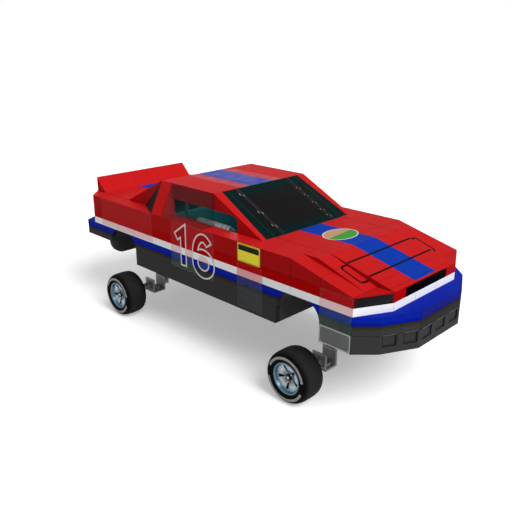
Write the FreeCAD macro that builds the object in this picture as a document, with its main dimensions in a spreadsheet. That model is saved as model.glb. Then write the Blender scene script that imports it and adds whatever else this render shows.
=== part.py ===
"""A stock car: flat-sided racing saloon on wide slick tyres, modelled as separate pieces in millimetres.

Frame: +X to the nose, +Y to the car's left, +Z up. The origin is on the ground, midway between the axles.
"""
import FreeCAD, Part
import math
import os
import re

import Sketcher

# Driving sizes, in millimetres and degrees.
SIZES = {
    # Stance
    "wheelbase": 3040,
    "track": 1916,
    "floor_height": 760,
    # Heights of the body, each a rise above the one before
    "sill_rise": 190,
    "bumper_rise": 190,
    "nose_rise": 190,
    "belt_rise": 190,
    "cabin_rise": 380,
    # Wall thicknesses
    "side_wall": 60,
    "panel_skin": 30,
    "roof_skin": 40,
    "floor_skin": 40,
    "house_skin": 20,
    "bulkhead_skin": 20,
    "glass_skin": 10,
    "bumper_wall": 50,
    # Runs along the body, from the cowl to the nose and from the cowl to the tail
    "cowl_station": 855,
    "bonnet_length": 1330,
    "nose_run": 190,
    "front_bumper_reach": 190,
    "bonnet_flat": 760,
    "fender_flat": 570,
    "door_setback": 190,
    "windscreen_run": 760,
    "roof_length": 950,
    "fastback_run": 760,
    "deck_length": 760,
    "tail_corner_run": 190,
    "rear_bumper_reach": 190,
    "pillar_width": 190,
    "quarter_glass_run": 380,
    "dash_depth": 380,
    # Widths, each a step in from the body's side
    "body_width": 1900,
    "shoulder_ledge": 190,
    "fender_strip": 190,
    "pillar_head": 122,
    "pillar_foot": 61,
    "bumper_shoulder_step": 190,
    "bumper_front_step": 570,
    "rear_bumper_step": 380,
    "rear_frame_margin": 50,
    # Wheel arches
    "arch_length": 570,
    "arch_radius": 190,
    "under_tail_radius": 190,
    # Grille, lamp covers and bumper vents
    "insert_rise": 84,
    "insert_height": 98,
    "grille_half": 380,
    "grille_slot": 12,
    "grille_pitch": 20,
    "grille_slots": 5,
    "grille_depth": 25,
    "lamp_width": 400,
    "lamp_depth": 8,
    "vent_rise": 68,
    "vent_height": 122,
    "vent_width": 175,
    "vent_pitch": 253,
    "corner_vent_width": 155,
    "corner_vent_pitch": 224,
    "vent_depth": 15,
    # Lids
    "shut_gap": 6,
    "lid_skirt_depth": 80,
    "lid_skirt_width": 20,
    "pin_radius": 8,
    "pin_length": 60,
    "pin_root": 5,
    # Clearances
    "bearing_clearance": 0.05,
    "seat_clearance": 0.3,
    "end_clearance": 1,
    "cut_margin": 5,
    # Spoiler
    "spoiler_height": 190,
    "spoiler_run": 190,
    # Wheels
    "tyre_radius": 285,
    "tyre_width": 304,
    "sidewall_drop": 50,
    "shoulder_drop": 15,
    "shoulder_step": 13,
    "tread_step": 47,
    "rim_radius": 165,
    "rim_width": 256,
    "flange_height": 10,
    "flange_width": 10,
    "rim_skin": 12,
    "lip_drop": 4,
    "dish_inset": 20,
    "dish_depth": 33,
    "hub_dish": 20,
    "disc_skin": 16,
    "hub_radius": 60,
    "hub_reach": 60,
    "slot_count": 5,
    "slot_phase": -43,
    "slot_gap": 4,
    "slot_margin": 30,
    "slot_root_width": 10,
    "slot_tip_width": 26,
    "nut_radius": 34,
    "nut_height": 22,
    "spindle_radius": 45,
    "spindle_past": 50,
    # Suspension
    "leg_station": 380,
    "leg_width": 190,
    "plate_skin": 15,
    "bracket_length": 190,
    "bracket_width": 190,
    "bracket_bottom": 190,
    "outer_plate_height": 190,
    "plate_border": 20,
    "plate_recess": 5,
    "steer_gap": 10,
    "pivot_radius": 70,
    "pivot_height": 45,
    "kingpin_radius": 20,
    "kingpin_height": 32,
    "web_width": 50,
    # Cabin
    "column_tilt": 20,
    "column_length": 130,
    "column_base": 30,
    "column_half": 30,
    "shaft_radius": 12,
    "steering_radius": 180,
    "steering_grip": 14,
    "spoke_skin": 9,
    "dash_height": 160,
    "seat_station": 200,
    "seat_width": 480,
    "seat_depth": 290,
    "seat_toe": 20,
    "seat_rise": 210,
    "seat_dip": 40,
    "seat_lean": 170,
    "seat_back_rise": 550,
    "seat_skin": 90,
    "seat_gap": 85,
    "bolster_skin": 30,
    "bolster_rise": 50,
    "bolster_turn": 30,
    "bolster_shoulder": 390,
    # Roll cage
    "cage_radius": 22,
    "cage_inset": 55,
    "cage_clear": 13,
    "hoop_gap": 115,
    "hoop_drop": 30,
    "hoop_bend": 150,
    "side_bar_drop": 10,
    # Engine
    "engine_gap": 35,
    "engine_length": 670,
    "engine_width": 600,
    "engine_rise": 290,
    "sump_gap": 10,
    "sump_rise": 70,
}
# How near a face has to lie to a station to be taken as the face there.
NEAR = 0.001

doc = FreeCAD.newDocument("StockCar")
sheet = doc.addObject("Spreadsheet::Sheet", "Dims")
for row, (alias, size) in enumerate(SIZES.items(), start=1):
    sheet.set(f"A{row}", alias)
    sheet.set(f"B{row}", str(size))
    sheet.setAlias(f"B{row}", alias)
doc.recompute()

pieces = {}

# Stations and heights that several pieces share, each worked out from the sizes above.
FRONT_AXLE = "(wheelbase / 2)"
REAR_AXLE = "(-wheelbase / 2)"
SILL_TOP = "(floor_height + sill_rise)"
BUMPER_TOP = f"({SILL_TOP} + bumper_rise)"
NOSE_TOP = f"({BUMPER_TOP} + nose_rise)"
BELT = f"({NOSE_TOP} + belt_rise)"
ROOF_TOP = f"({BELT} + cabin_rise)"
FLOOR_TOP = "(floor_height + floor_skin)"
LEDGE_UNDER = f"({BELT} - panel_skin)"
WINDOW_TOP = f"({BELT} + cabin_rise / 2)"
HALF_BODY = "(body_width / 2)"
INNER_SIDE = "(body_width / 2 - side_wall)"
HALF_CABIN = "(body_width / 2 - shoulder_ledge)"
HALF_BONNET = f"({HALF_CABIN} - fender_strip)"
HEAD_HALF = f"({HALF_CABIN} - pillar_head)"
FOOT_HALF = f"({HALF_CABIN} - pillar_foot)"
WINDSCREEN_HEAD = "(cowl_station - windscreen_run)"
ROOF_REAR = f"({WINDSCREEN_HEAD} - roof_length)"
FASTBACK_FOOT = f"({ROOF_REAR} - fastback_run)"
DECK_END = f"({FASTBACK_FOOT} - deck_length)"
SIDE_END = f"({DECK_END} + tail_corner_run)"
REAR_END = f"({DECK_END} - rear_bumper_reach)"
FENDER_END = "(cowl_station + bonnet_length)"
NOSE_FACE = f"({FENDER_END} + nose_run)"
FRONT_END = f"({NOSE_FACE} + front_bumper_reach)"
BONNET_BEND = "(cowl_station + bonnet_flat)"
DOOR_FRONT = "(cowl_station - door_setback)"
BONNET_FALL = f"belt_rise / ({NOSE_FACE} - {BONNET_BEND})"
ARCH_HALF = "(arch_length / 2)"
ARCH_TOP = f"({SILL_TOP} + arch_radius)"
DASH_REAR = "(cowl_station - dash_depth)"
DASH_LOW = f"({LEDGE_UNDER} - dash_height)"
COLUMN_HEIGHT = f"({LEDGE_UNDER} - dash_height / 2)"
CAGE_HALF = f"({HALF_CABIN} - cage_inset)"
DRIVER = f"({CAGE_HALF} - seat_gap - seat_width / 2)"
SEAT_BACK = "(seat_station - seat_depth - seat_lean - seat_skin)"
RIM_EDGE = "(rim_width / 2 + seat_clearance + flange_width)"
HUB_FACE = f"({RIM_EDGE} - dish_depth - hub_dish)"
FOOT_PLATE_TOP = "(bracket_bottom + plate_skin)"
OUTER_PLATE = "(leg_station + bracket_width - plate_skin)"
KINGPIN = "(leg_station + bracket_width / 2)"


def dims(text):
    """Put the sheet's name before every size that an expression uses."""
    return re.sub(r"[a-z_]+", lambda word: "Dims." + word[0] if word[0] in SIZES else word[0], text)


def value(text):
    """Work an expression out as a number."""
    result = sheet.evalExpression(dims(text))
    return float(getattr(result, "Value", result))


def new_body(name):
    body = doc.addObject("PartDesign::Body", name)
    body.Label = name
    pieces[name] = body
    return body


def add_sketch(body, role, name, start="0", turn=None):
    """A sketch on one of the body's own planes, moved along the plane's normal to start.

    turn is an axis in the sketch and an angle, for a sketch that is turned about its own origin.
    """
    sketch = body.newObject("Sketcher::SketchObject", name)
    sketch.AttachmentSupport = (origin_plane(body, role), "")
    sketch.MapMode = "FlatFace"
    if turn:
        axis, angle = turn
        sketch.AttachmentOffset = FreeCAD.Placement(FreeCAD.Vector(), FreeCAD.Rotation(axis, value(angle)))
        sketch.setExpression("AttachmentOffset.Rotation.Angle", dims(angle))
    sketch.setExpression("AttachmentOffset.Base.z", dims(start))
    return sketch


def origin_plane(body, role):
    return [feature for feature in body.Origin.OriginFeatures if feature.Role == role][0]


def fix(sketch, kind, geometry, point, text):
    """Tie one coordinate of a sketch point to an expression."""
    index = sketch.addConstraint(Sketcher.Constraint(kind, -1, 1, geometry, point, value(text)))
    sketch.setExpression(f"Constraints[{index}]", dims(text))


def add_outline(sketch, points):
    """A closed outline. A corner is (x, y), or (x, y, cx, cy, turn) where an arc about (cx, cy) starts.

    turn is 1 for an arc that runs anticlockwise and -1 for one that runs clockwise.
    """
    first = sketch.GeometryCount
    spots = [FreeCAD.Vector(value(point[0]), value(point[1]), 0) for point in points]
    ends = []
    for index, point in enumerate(points):
        start = spots[index]
        end = spots[(index + 1) % len(points)]
        if len(point) == 2:
            sketch.addGeometry(Part.LineSegment(start, end), False)
            ends.append((1, 2))
            continue
        centre = FreeCAD.Vector(value(point[2]), value(point[3]), 0)
        circle = Part.Circle(centre, FreeCAD.Vector(0, 0, 1), (start - centre).Length)
        angles = [math.atan2(spot.y - centre.y, spot.x - centre.x) for spot in (start, end)]
        ends.append((1, 2) if point[4] > 0 else (2, 1))
        low, high = angles if point[4] > 0 else reversed(angles)
        sketch.addGeometry(Part.ArcOfCircle(circle, low, high if high > low else high + 2 * math.pi), False)
    for index, point in enumerate(points):
        following = (index + 1) % len(points)
        sketch.addConstraint(Sketcher.Constraint("Coincident", first + index, ends[index][1],
                                                 first + following, ends[following][0]))
    for index, point in enumerate(points):
        fix(sketch, "DistanceX", first + index, ends[index][0], point[0])
        fix(sketch, "DistanceY", first + index, ends[index][0], point[1])
        if len(point) > 2:
            fix(sketch, "DistanceX", first + index, 3, point[2])


def add_circle(sketch, x, y, radius):
    centre = FreeCAD.Vector(value(x), value(y), 0)
    circle = Part.Circle(centre, FreeCAD.Vector(0, 0, 1), value(radius))
    index = sketch.addGeometry(circle, False)
    fix(sketch, "DistanceX", index, 3, x)
    fix(sketch, "DistanceY", index, 3, y)
    row = sketch.addConstraint(Sketcher.Constraint("Radius", index, value(radius)))
    sketch.setExpression(f"Constraints[{row}]", dims(radius))


def pad(body, role, name, points, start, length):
    """Raise an outline from start along the plane's normal. The XZ plane's normal points to the car's right."""
    sketch = add_sketch(body, role, name + "_sketch", start)
    add_outline(sketch, points)
    return raise_sketch(body, sketch, name, length)


def pad_circle(body, role, name, x, y, radius, start, length):
    sketch = add_sketch(body, role, name + "_sketch", start)
    add_circle(sketch, x, y, radius)
    return raise_sketch(body, sketch, name, length)


def raise_sketch(body, sketch, name, length):
    feature = body.newObject("PartDesign::Pad", name)
    feature.Profile = sketch
    feature.setExpression("Length", dims(length))
    return feature


def sink_sketch(body, sketch, name, length, along=True):
    """Cut a sketch away along its plane's normal, or against it."""
    feature = body.newObject("PartDesign::Pocket", name)
    feature.Profile = sketch
    feature.Reversed = along
    feature.setExpression("Length", dims(length))
    return feature


def pocket(body, role, name, points, start, length):
    """Cut an outline away from start along the plane's normal."""
    sketch = add_sketch(body, role, name + "_sketch", start)
    add_outline(sketch, points)
    return sink_sketch(body, sketch, name, length)


def pocket_circle(body, role, name, x, y, radius, start, length):
    sketch = add_sketch(body, role, name + "_sketch", start)
    add_circle(sketch, x, y, radius)
    return sink_sketch(body, sketch, name, length)


def box_outline(x_low, x_high, y_low, y_high):
    return [(x_low, y_low), (x_high, y_low), (x_high, y_high), (x_low, y_high)]


def hollow(body, feature, name, wall, openings):
    """Shell a prism inwards. Each opening is the axis and the station of a flat face that is left open."""
    doc.recompute()
    open_faces = []
    for index, face in enumerate(feature.Shape.Faces, start=1):
        for axis, station in openings:
            across = abs(getattr(face.normalAt(0, 0), axis)) > 1 - NEAR
            if across and abs(getattr(face.CenterOfMass, axis) - value(station)) < NEAR:
                open_faces.append(f"Face{index}")
    shell = body.newObject("PartDesign::Thickness", name)
    shell.Base = (feature, open_faces)
    shell.Reversed = True
    shell.Join = 1
    shell.setExpression("Value", dims(wall))


def mirror_left(right_name, left_name):
    """The left-hand piece is the right-hand one mirrored across the car's middle plane."""
    mirrored = doc.addObject("Part::Mirroring", left_name)
    mirrored.Label = left_name
    mirrored.Source = pieces[right_name]
    mirrored.Normal = FreeCAD.Vector(0, 1, 0)
    mirrored.Base = FreeCAD.Vector(0, 0, 0)
    pieces[left_name] = mirrored


def both_sides(name):
    """One piece made of a right-hand half and its mirror image, which don't touch."""
    right = pieces.pop(name)
    right.Label = name + "_half"
    mirrored = doc.addObject("Part::Mirroring", name + "_mirrored")
    mirrored.Source = right
    mirrored.Normal = FreeCAD.Vector(0, 1, 0)
    pair = doc.addObject("Part::Compound", name)
    pair.Label = name
    pair.Links = [right, mirrored]
    pieces[name] = pair


def repeat_mirrored(body, feature, name):
    """Repeat a cut on the other side of the body's own XZ plane."""
    mirrored = body.newObject("PartDesign::Mirrored", name)
    mirrored.Originals = [feature]
    mirrored.MirrorPlane = (origin_plane(body, "XZ_Plane"), [""])
    body.Tip = mirrored


def sink_in_corner(body, name, middle_x, middle_y, angle, outlines, depth):
    """Sink outlines into a corner face that looks forwards and to the right, then repeat them on the left."""
    sketch = add_sketch(body, "YZ_Plane", name + "_sketch", middle_x, (FreeCAD.Vector(0, -1, 0), angle))
    sketch.setExpression("AttachmentOffset.Base.x", dims(middle_y))
    for points in outlines:
        add_outline(sketch, points)
    feature = sink_sketch(body, sketch, name, depth, along=False)
    repeat_mirrored(body, feature, name + "_left")


def make_floor_pan():
    body = new_body("floor_pan")
    front = f"{FRONT_AXLE} - {ARCH_HALF} - house_skin"
    rear = f"{REAR_AXLE} + {ARCH_HALF} + house_skin"
    pad(body, "XY_Plane", "floor", box_outline(rear, front, f"-{INNER_SIDE}", INNER_SIDE),
        "floor_height", "floor_skin")


def arch_over(axle, grow):
    """The arch from its front foot over the top to its rear foot, grown outwards by grow."""
    front_centre = f"{axle} + {ARCH_HALF} - arch_radius"
    rear_centre = f"{axle} - {ARCH_HALF} + arch_radius"
    return [(f"{axle} + {ARCH_HALF} + {grow}", SILL_TOP, front_centre, SILL_TOP, 1),
            (front_centre, f"{ARCH_TOP} + {grow}"),
            (rear_centre, f"{ARCH_TOP} + {grow}", rear_centre, SILL_TOP, 1),
            (f"{axle} - {ARCH_HALF} - {grow}", SILL_TOP)]


def arch_back(axle):
    """The arch itself, from its rear foot back over the top to its front foot."""
    front_centre = f"{axle} + {ARCH_HALF} - arch_radius"
    rear_centre = f"{axle} - {ARCH_HALF} + arch_radius"
    return [(f"{axle} - {ARCH_HALF}", SILL_TOP, rear_centre, SILL_TOP, -1),
            (rear_centre, ARCH_TOP),
            (front_centre, ARCH_TOP, front_centre, SILL_TOP, -1),
            (f"{axle} + {ARCH_HALF}", SILL_TOP)]


def make_wheelhouses():
    """Each wheelhouse is an arched tunnel right across the car. The front one carries the nose floor."""
    body = new_body("wheelhouse_front")
    front = f"{FRONT_AXLE} + {ARCH_HALF}"
    rear = f"{FRONT_AXLE} - {ARCH_HALF}"
    outline = [(FENDER_END, FLOOR_TOP), (f"{front} + house_skin", FLOOR_TOP)]
    outline += arch_over(FRONT_AXLE, "house_skin")
    outline += [(f"{rear} - house_skin", "floor_height"), (rear, "floor_height")]
    outline += arch_back(FRONT_AXLE)
    outline += [(front, "floor_height"), (FENDER_END, "floor_height")]
    pad(body, "XZ_Plane", "tunnel", outline, f"-{INNER_SIDE}", f"2 * {INNER_SIDE}")

    body = new_body("wheelhouse_rear")
    front = f"{REAR_AXLE} + {ARCH_HALF}"
    rear = f"{REAR_AXLE} - {ARCH_HALF}"
    outline = [(f"{front} + house_skin", "floor_height")]
    outline += arch_over(REAR_AXLE, "house_skin")
    outline += arch_back(REAR_AXLE)
    outline += [(front, "floor_height")]
    pad(body, "XZ_Plane", "tunnel", outline, f"-{INNER_SIDE}", f"2 * {INNER_SIDE}")
    boot_floor = box_outline(f"{DECK_END} + bumper_wall", f"{rear} - house_skin / 2", f"-{INNER_SIDE}", INNER_SIDE)
    pad(body, "XY_Plane", "boot_floor", boot_floor, SILL_TOP, "house_skin")
    make_back_wall(body, rear)


def make_back_wall(body, front):
    """The wall behind the rear wheels reaches the body sides and rolls under at its lower corners."""
    turn = f"({HALF_BODY} - under_tail_radius)"
    low = f"{SILL_TOP} - under_tail_radius"
    outline = [(f"-{turn}", low), (turn, low, turn, SILL_TOP, 1), (HALF_BODY, SILL_TOP),
               (f"-{HALF_BODY}", SILL_TOP, f"-{turn}", SILL_TOP, 1)]
    pad(body, "YZ_Plane", "back_wall", outline, f"{front} - floor_skin", "floor_skin")


def make_sills():
    body = new_body("sills")
    front = f"{FRONT_AXLE} - {ARCH_HALF}"
    rear = f"{REAR_AXLE} + {ARCH_HALF}"
    pad(body, "XZ_Plane", "sill", box_outline(rear, front, "floor_height", SILL_TOP), INNER_SIDE, "side_wall")
    both_sides("sills")


def make_front_fender():
    body = new_body("front_fender_R")
    bend = "cowl_station + fender_flat"
    wall = [(DOOR_FRONT, BELT), (DOOR_FRONT, SILL_TOP)]
    wall += arch_back(FRONT_AXLE)
    wall += [(f"{FRONT_AXLE} + {ARCH_HALF}", "floor_height"), (FENDER_END, "floor_height"),
             (FENDER_END, NOSE_TOP), (bend, BELT)]
    pad(body, "XZ_Plane", "wall", wall, INNER_SIDE, "side_wall")
    outer = [(DOOR_FRONT, BELT), (DOOR_FRONT, LEDGE_UNDER), (bend, LEDGE_UNDER),
             (FENDER_END, f"{NOSE_TOP} - panel_skin"), (FENDER_END, NOSE_TOP), (bend, BELT)]
    pad(body, "XZ_Plane", "outer_strip", outer, HALF_CABIN, "shoulder_ledge")
    inner = [("cowl_station", BELT), ("cowl_station", LEDGE_UNDER), (bend, LEDGE_UNDER),
             (FENDER_END, f"{NOSE_TOP} - panel_skin"), (FENDER_END, NOSE_TOP), (BONNET_BEND, BELT)]
    pad(body, "XZ_Plane", "inner_strip", inner, HALF_BONNET, "fender_strip")
    pad_circle(body, "XZ_Plane", "bonnet_pin", "cowl_station + shut_gap + panel_skin / 2",
               f"{BELT} - panel_skin / 2", "pin_radius", f"{HALF_BONNET} - pin_length", "pin_length + pin_root")
    mirror_left("front_fender_R", "front_fender_L")


def make_door_panel():
    body = new_body("door_panel_R")
    pad(body, "XZ_Plane", "wall", box_outline(ROOF_REAR, DOOR_FRONT, SILL_TOP, BELT), INNER_SIDE, "side_wall")
    pad(body, "XZ_Plane", "ledge", box_outline(ROOF_REAR, DOOR_FRONT, LEDGE_UNDER, BELT),
        HALF_CABIN, "shoulder_ledge")
    mirror_left("door_panel_R", "door_panel_L")


def make_rear_quarter():
    body = new_body("rear_quarter_R")
    wall = arch_back(REAR_AXLE)
    wall += [(ROOF_REAR, SILL_TOP), (ROOF_REAR, BELT), (SIDE_END, BELT), (SIDE_END, SILL_TOP)]
    pad(body, "XZ_Plane", "wall", wall, INNER_SIDE, "side_wall")
    ledge = [(ROOF_REAR, f"-{HALF_CABIN}"), (ROOF_REAR, f"-{HALF_BODY}"), (SIDE_END, f"-{HALF_BODY}"),
             (DECK_END, f"-{HALF_CABIN}")]
    pad(body, "XY_Plane", "ledge", ledge, LEDGE_UNDER, "panel_skin")
    pad_circle(body, "XZ_Plane", "boot_pin", f"{FASTBACK_FOOT} - shut_gap - panel_skin / 2",
               f"{BELT} - panel_skin / 2", "pin_radius", f"{HALF_CABIN} - pin_length", "pin_length + pin_root")
    mirror_left("rear_quarter_R", "rear_quarter_L")


def make_nose_panel():
    """The nose is a shell with slanted corners. A grille of slots and two lamp covers are sunk into it."""
    body = new_body("nose_panel")
    plan = [(FENDER_END, f"-{HALF_BODY}"), (NOSE_FACE, f"-{HALF_BONNET}"), (NOSE_FACE, HALF_BONNET),
            (FENDER_END, HALF_BODY)]
    block = pad(body, "XY_Plane", "block", plan, BUMPER_TOP, "nose_rise")
    hollow(body, block, "shell", "bumper_wall", [("x", FENDER_END)])
    face_back = f"{NOSE_FACE} - bumper_wall"
    bay = box_outline(f"{FENDER_END} - cut_margin", face_back, f"{BUMPER_TOP} + bumper_wall + cut_margin",
                      f"{NOSE_TOP} + cut_margin")
    pocket(body, "XZ_Plane", "bonnet_bay", bay, f"-{HALF_BONNET}", f"2 * {HALF_BONNET}")
    lip = [(face_back, f"{NOSE_TOP} - cut_margin"), (NOSE_FACE, f"{NOSE_TOP} - cut_margin"), (NOSE_FACE, NOSE_TOP),
           (face_back, f"{NOSE_TOP} + bumper_wall * {BONNET_FALL}")]
    pad(body, "XZ_Plane", "lip", lip, f"-{HALF_BONNET}", f"2 * {HALF_BONNET}")
    low = f"({BUMPER_TOP} + insert_rise)"
    lamp = box_outline("-lamp_width / 2", "lamp_width / 2", low, f"{low} + insert_height")
    sink_in_corner(body, "lamp_cover", f"({FENDER_END} + {NOSE_FACE}) / 2", f"-({HALF_BODY} + {HALF_BONNET}) / 2",
                   f"atan(nose_run / ({HALF_BODY} - {HALF_BONNET}))", [lamp], "lamp_depth")
    add_grille(body, low)


def add_grille(body, low):
    """Slots across the nose face, repeated upwards, which leave the grille's bars between them."""
    margin = "(insert_height - grille_slot - grille_pitch * (grille_slots - 1)) / 2"
    sketch = add_sketch(body, "YZ_Plane", "grille_sketch", NOSE_FACE)
    add_outline(sketch, box_outline("-grille_half", "grille_half", f"{low} + {margin}",
                                    f"{low} + {margin} + grille_slot"))
    slot = sink_sketch(body, sketch, "grille_slot", "grille_depth", along=False)
    grille = body.newObject("PartDesign::LinearPattern", "grille")
    grille.Originals = [slot]
    grille.Direction = (sketch, ["V_Axis"])
    grille.setExpression("Length", dims("grille_pitch * (grille_slots - 1)"))
    grille.setExpression("Occurrences", dims("grille_slots"))
    body.Tip = grille


def make_front_bumper():
    """A hollow bumper in five faces, with shallow square vents round its lower half."""
    body = new_body("front_bumper")
    shoulder = f"({HALF_BODY} - bumper_shoulder_step)"
    tip = f"({HALF_BODY} - bumper_front_step)"
    plan = [(FENDER_END, f"-{HALF_BODY}"), (NOSE_FACE, f"-{shoulder}"), (FRONT_END, f"-{tip}"),
            (FRONT_END, tip), (NOSE_FACE, shoulder), (FENDER_END, HALF_BODY)]
    block = pad(body, "XY_Plane", "block", plan, "floor_height", "sill_rise + bumper_rise")
    hollow(body, block, "shell", "bumper_wall", [("x", FENDER_END)])
    low = "floor_height + vent_rise"
    high = f"{low} + vent_height"
    corner = []
    for side in ("-", ""):
        middle = f"{side}corner_vent_pitch / 2"
        corner.append(box_outline(f"{middle} - corner_vent_width / 2", f"{middle} + corner_vent_width / 2", low, high))
    sink_in_corner(body, "corner_vents", f"({NOSE_FACE} + {FRONT_END}) / 2", f"-({shoulder} + {tip}) / 2",
                   f"atan(front_bumper_reach / ({shoulder} - {tip}))", corner, "vent_depth")
    face = add_sketch(body, "YZ_Plane", "vents_sketch", FRONT_END)
    for middle in ("-vent_pitch", "0", "vent_pitch"):
        add_outline(face, box_outline(f"{middle} - vent_width / 2", f"{middle} + vent_width / 2", low, high))
    body.Tip = sink_sketch(body, face, "vents", "vent_depth", along=False)


def make_rear_bumper():
    body = new_body("rear_bumper")
    tip = f"({HALF_BODY} - rear_bumper_step)"
    plan = [(SIDE_END, f"-{HALF_BODY}"), (SIDE_END, HALF_BODY), (DECK_END, HALF_BODY), (REAR_END, tip),
            (REAR_END, f"-{tip}"), (DECK_END, f"-{HALF_BODY}")]
    block = pad(body, "XY_Plane", "block", plan, SILL_TOP, "bumper_rise")
    hollow(body, block, "shell", "bumper_wall", [("x", SIDE_END)])
    bay = box_outline(f"{DECK_END} + bumper_wall", f"{SIDE_END} + cut_margin", f"-{INNER_SIDE}", INNER_SIDE)
    pocket(body, "XY_Plane", "boot_bay", bay, f"{SILL_TOP} - cut_margin", "bumper_rise + 2 * cut_margin")


def make_tail_panel():
    body = new_body("tail_panel")
    plan = [(SIDE_END, f"-{HALF_BODY}"), (SIDE_END, HALF_BODY), (DECK_END, HALF_CABIN), (DECK_END, f"-{HALF_CABIN}")]
    block = pad(body, "XY_Plane", "block", plan, BUMPER_TOP, f"{LEDGE_UNDER} - {BUMPER_TOP}")
    hollow(body, block, "shell", "bumper_wall", [("x", SIDE_END), ("z", BUMPER_TOP), ("z", LEDGE_UNDER)])
    seat = box_outline(f"{DECK_END} - cut_margin", f"{SIDE_END} + cut_margin", f"-{HALF_CABIN}", HALF_CABIN)
    pocket(body, "XY_Plane", "lid_seat", seat, f"{LEDGE_UNDER} - shut_gap", "shut_gap + cut_margin")


def make_firewall():
    """The plate behind the engine, with the cowl and the top of the dash as one shelf."""
    body = new_body("firewall")
    plate = box_outline("cowl_station - bulkhead_skin", "cowl_station", FLOOR_TOP, LEDGE_UNDER)
    pad(body, "XZ_Plane", "plate", plate, f"-{INNER_SIDE}", f"2 * {INNER_SIDE}")
    pad(body, "XZ_Plane", "shelf", box_outline(DASH_REAR, "cowl_station", LEDGE_UNDER, BELT),
        f"-{HALF_CABIN}", f"2 * {HALF_CABIN}")


def make_rear_bulkhead():
    body = new_body("rear_bulkhead")
    plate = box_outline(f"{ROOF_REAR} - bulkhead_skin", ROOF_REAR, FLOOR_TOP, LEDGE_UNDER)
    pad(body, "XZ_Plane", "plate", plate, f"-{INNER_SIDE}", f"2 * {INNER_SIDE}")
    pad(body, "XZ_Plane", "shelf", box_outline(FASTBACK_FOOT, f"{ROOF_REAR} + pillar_width", LEDGE_UNDER, BELT),
        f"-{HALF_CABIN}", f"2 * {HALF_CABIN}")


def make_roof():
    body = new_body("roof")
    under = f"{ROOF_TOP} - roof_skin"
    pad(body, "XZ_Plane", "top", box_outline(ROOF_REAR, WINDSCREEN_HEAD, under, ROOF_TOP),
        f"-{HALF_CABIN}", f"2 * {HALF_CABIN}")
    rail = box_outline(ROOF_REAR, WINDSCREEN_HEAD, WINDOW_TOP, under)
    pad(body, "XZ_Plane", "rail_R", rail, f"{HALF_CABIN} - panel_skin", "panel_skin")
    pad(body, "XZ_Plane", "rail_L", rail, f"-{HALF_CABIN}", "panel_skin")


def slope_outline(head, foot, drop, run_per_rise):
    """The side outline of a sloping sheet that stands on the belt line, drop thick measured upright."""
    inset = f"{drop} * {run_per_rise}"
    return [(head, ROOF_TOP), (foot, BELT), (f"{foot} - {inset}", BELT), (head, f"{ROOF_TOP} - {drop}")]


SCREEN_SLOPE = "windscreen_run / cabin_rise"
FASTBACK_SLOPE = "-fastback_run / cabin_rise"
ABOVE_BELT = f"{BELT} - cut_margin"
CABIN_CUT = "cabin_rise + 2 * cut_margin"


def make_a_pillar():
    """The windscreen pillar with the wall that fills the front corner of the side window."""
    body = new_body("a_pillars")
    pad(body, "XZ_Plane", "pillar", slope_outline(WINDSCREEN_HEAD, "cowl_station", "roof_skin", SCREEN_SLOPE),
        HEAD_HALF, "pillar_head")
    wall = [(WINDSCREEN_HEAD, ROOF_TOP), ("cowl_station", BELT), (DASH_REAR, BELT), (DASH_REAR, WINDOW_TOP),
            (WINDSCREEN_HEAD, WINDOW_TOP)]
    pad(body, "XZ_Plane", "wall", wall, f"{HALF_CABIN} - panel_skin", "panel_skin")
    past_head = f"{WINDSCREEN_HEAD} - cut_margin"
    past_foot = "cowl_station + cut_margin"
    inside = f"-{HEAD_HALF} + cut_margin"
    glass_side = [(past_head, inside), (past_head, f"-{HEAD_HALF}"), (WINDSCREEN_HEAD, f"-{HEAD_HALF}"),
                  ("cowl_station", f"-{FOOT_HALF}"), (past_foot, f"-{FOOT_HALF}"), (past_foot, inside)]
    pocket(body, "XY_Plane", "glass_edge", glass_side, ABOVE_BELT, CABIN_CUT)
    both_sides("a_pillars")


def make_c_pillar():
    body = new_body("c_pillars")
    inner = f"-{HALF_CABIN} + panel_skin"
    section = [(inner, BELT), (inner, WINDOW_TOP), (f"-{HALF_CABIN}", WINDOW_TOP), (f"-{HALF_CABIN}", ROOF_TOP),
               (f"-{HALF_BODY}", BELT)]
    pad(body, "YZ_Plane", "pillar", section, ROOF_REAR, "pillar_width")
    both_sides("c_pillars")


def rear_window_plan():
    head = f"{ROOF_REAR} - rear_frame_margin"
    foot = f"{FASTBACK_FOOT} + rear_frame_margin"
    return [(head, f"-{HEAD_HALF}"), (head, HEAD_HALF), (foot, FOOT_HALF), (foot, f"-{FOOT_HALF}")]


def make_fastback():
    """The sloping frame of the rear window with its two side walls."""
    body = new_body("fastback")
    pad(body, "XZ_Plane", "sheet", slope_outline(ROOF_REAR, FASTBACK_FOOT, "roof_skin", FASTBACK_SLOPE),
        f"-{HALF_CABIN}", f"2 * {HALF_CABIN}")
    wall = [(FASTBACK_FOOT, BELT), (f"{ROOF_REAR} - quarter_glass_run", BELT), (ROOF_REAR, ROOF_TOP)]
    pad(body, "XZ_Plane", "wall_R", wall, f"{HALF_CABIN} - panel_skin", "panel_skin")
    pad(body, "XZ_Plane", "wall_L", wall, f"-{HALF_CABIN}", "panel_skin")
    pocket(body, "XY_Plane", "window", rear_window_plan(), ABOVE_BELT, CABIN_CUT)


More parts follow.
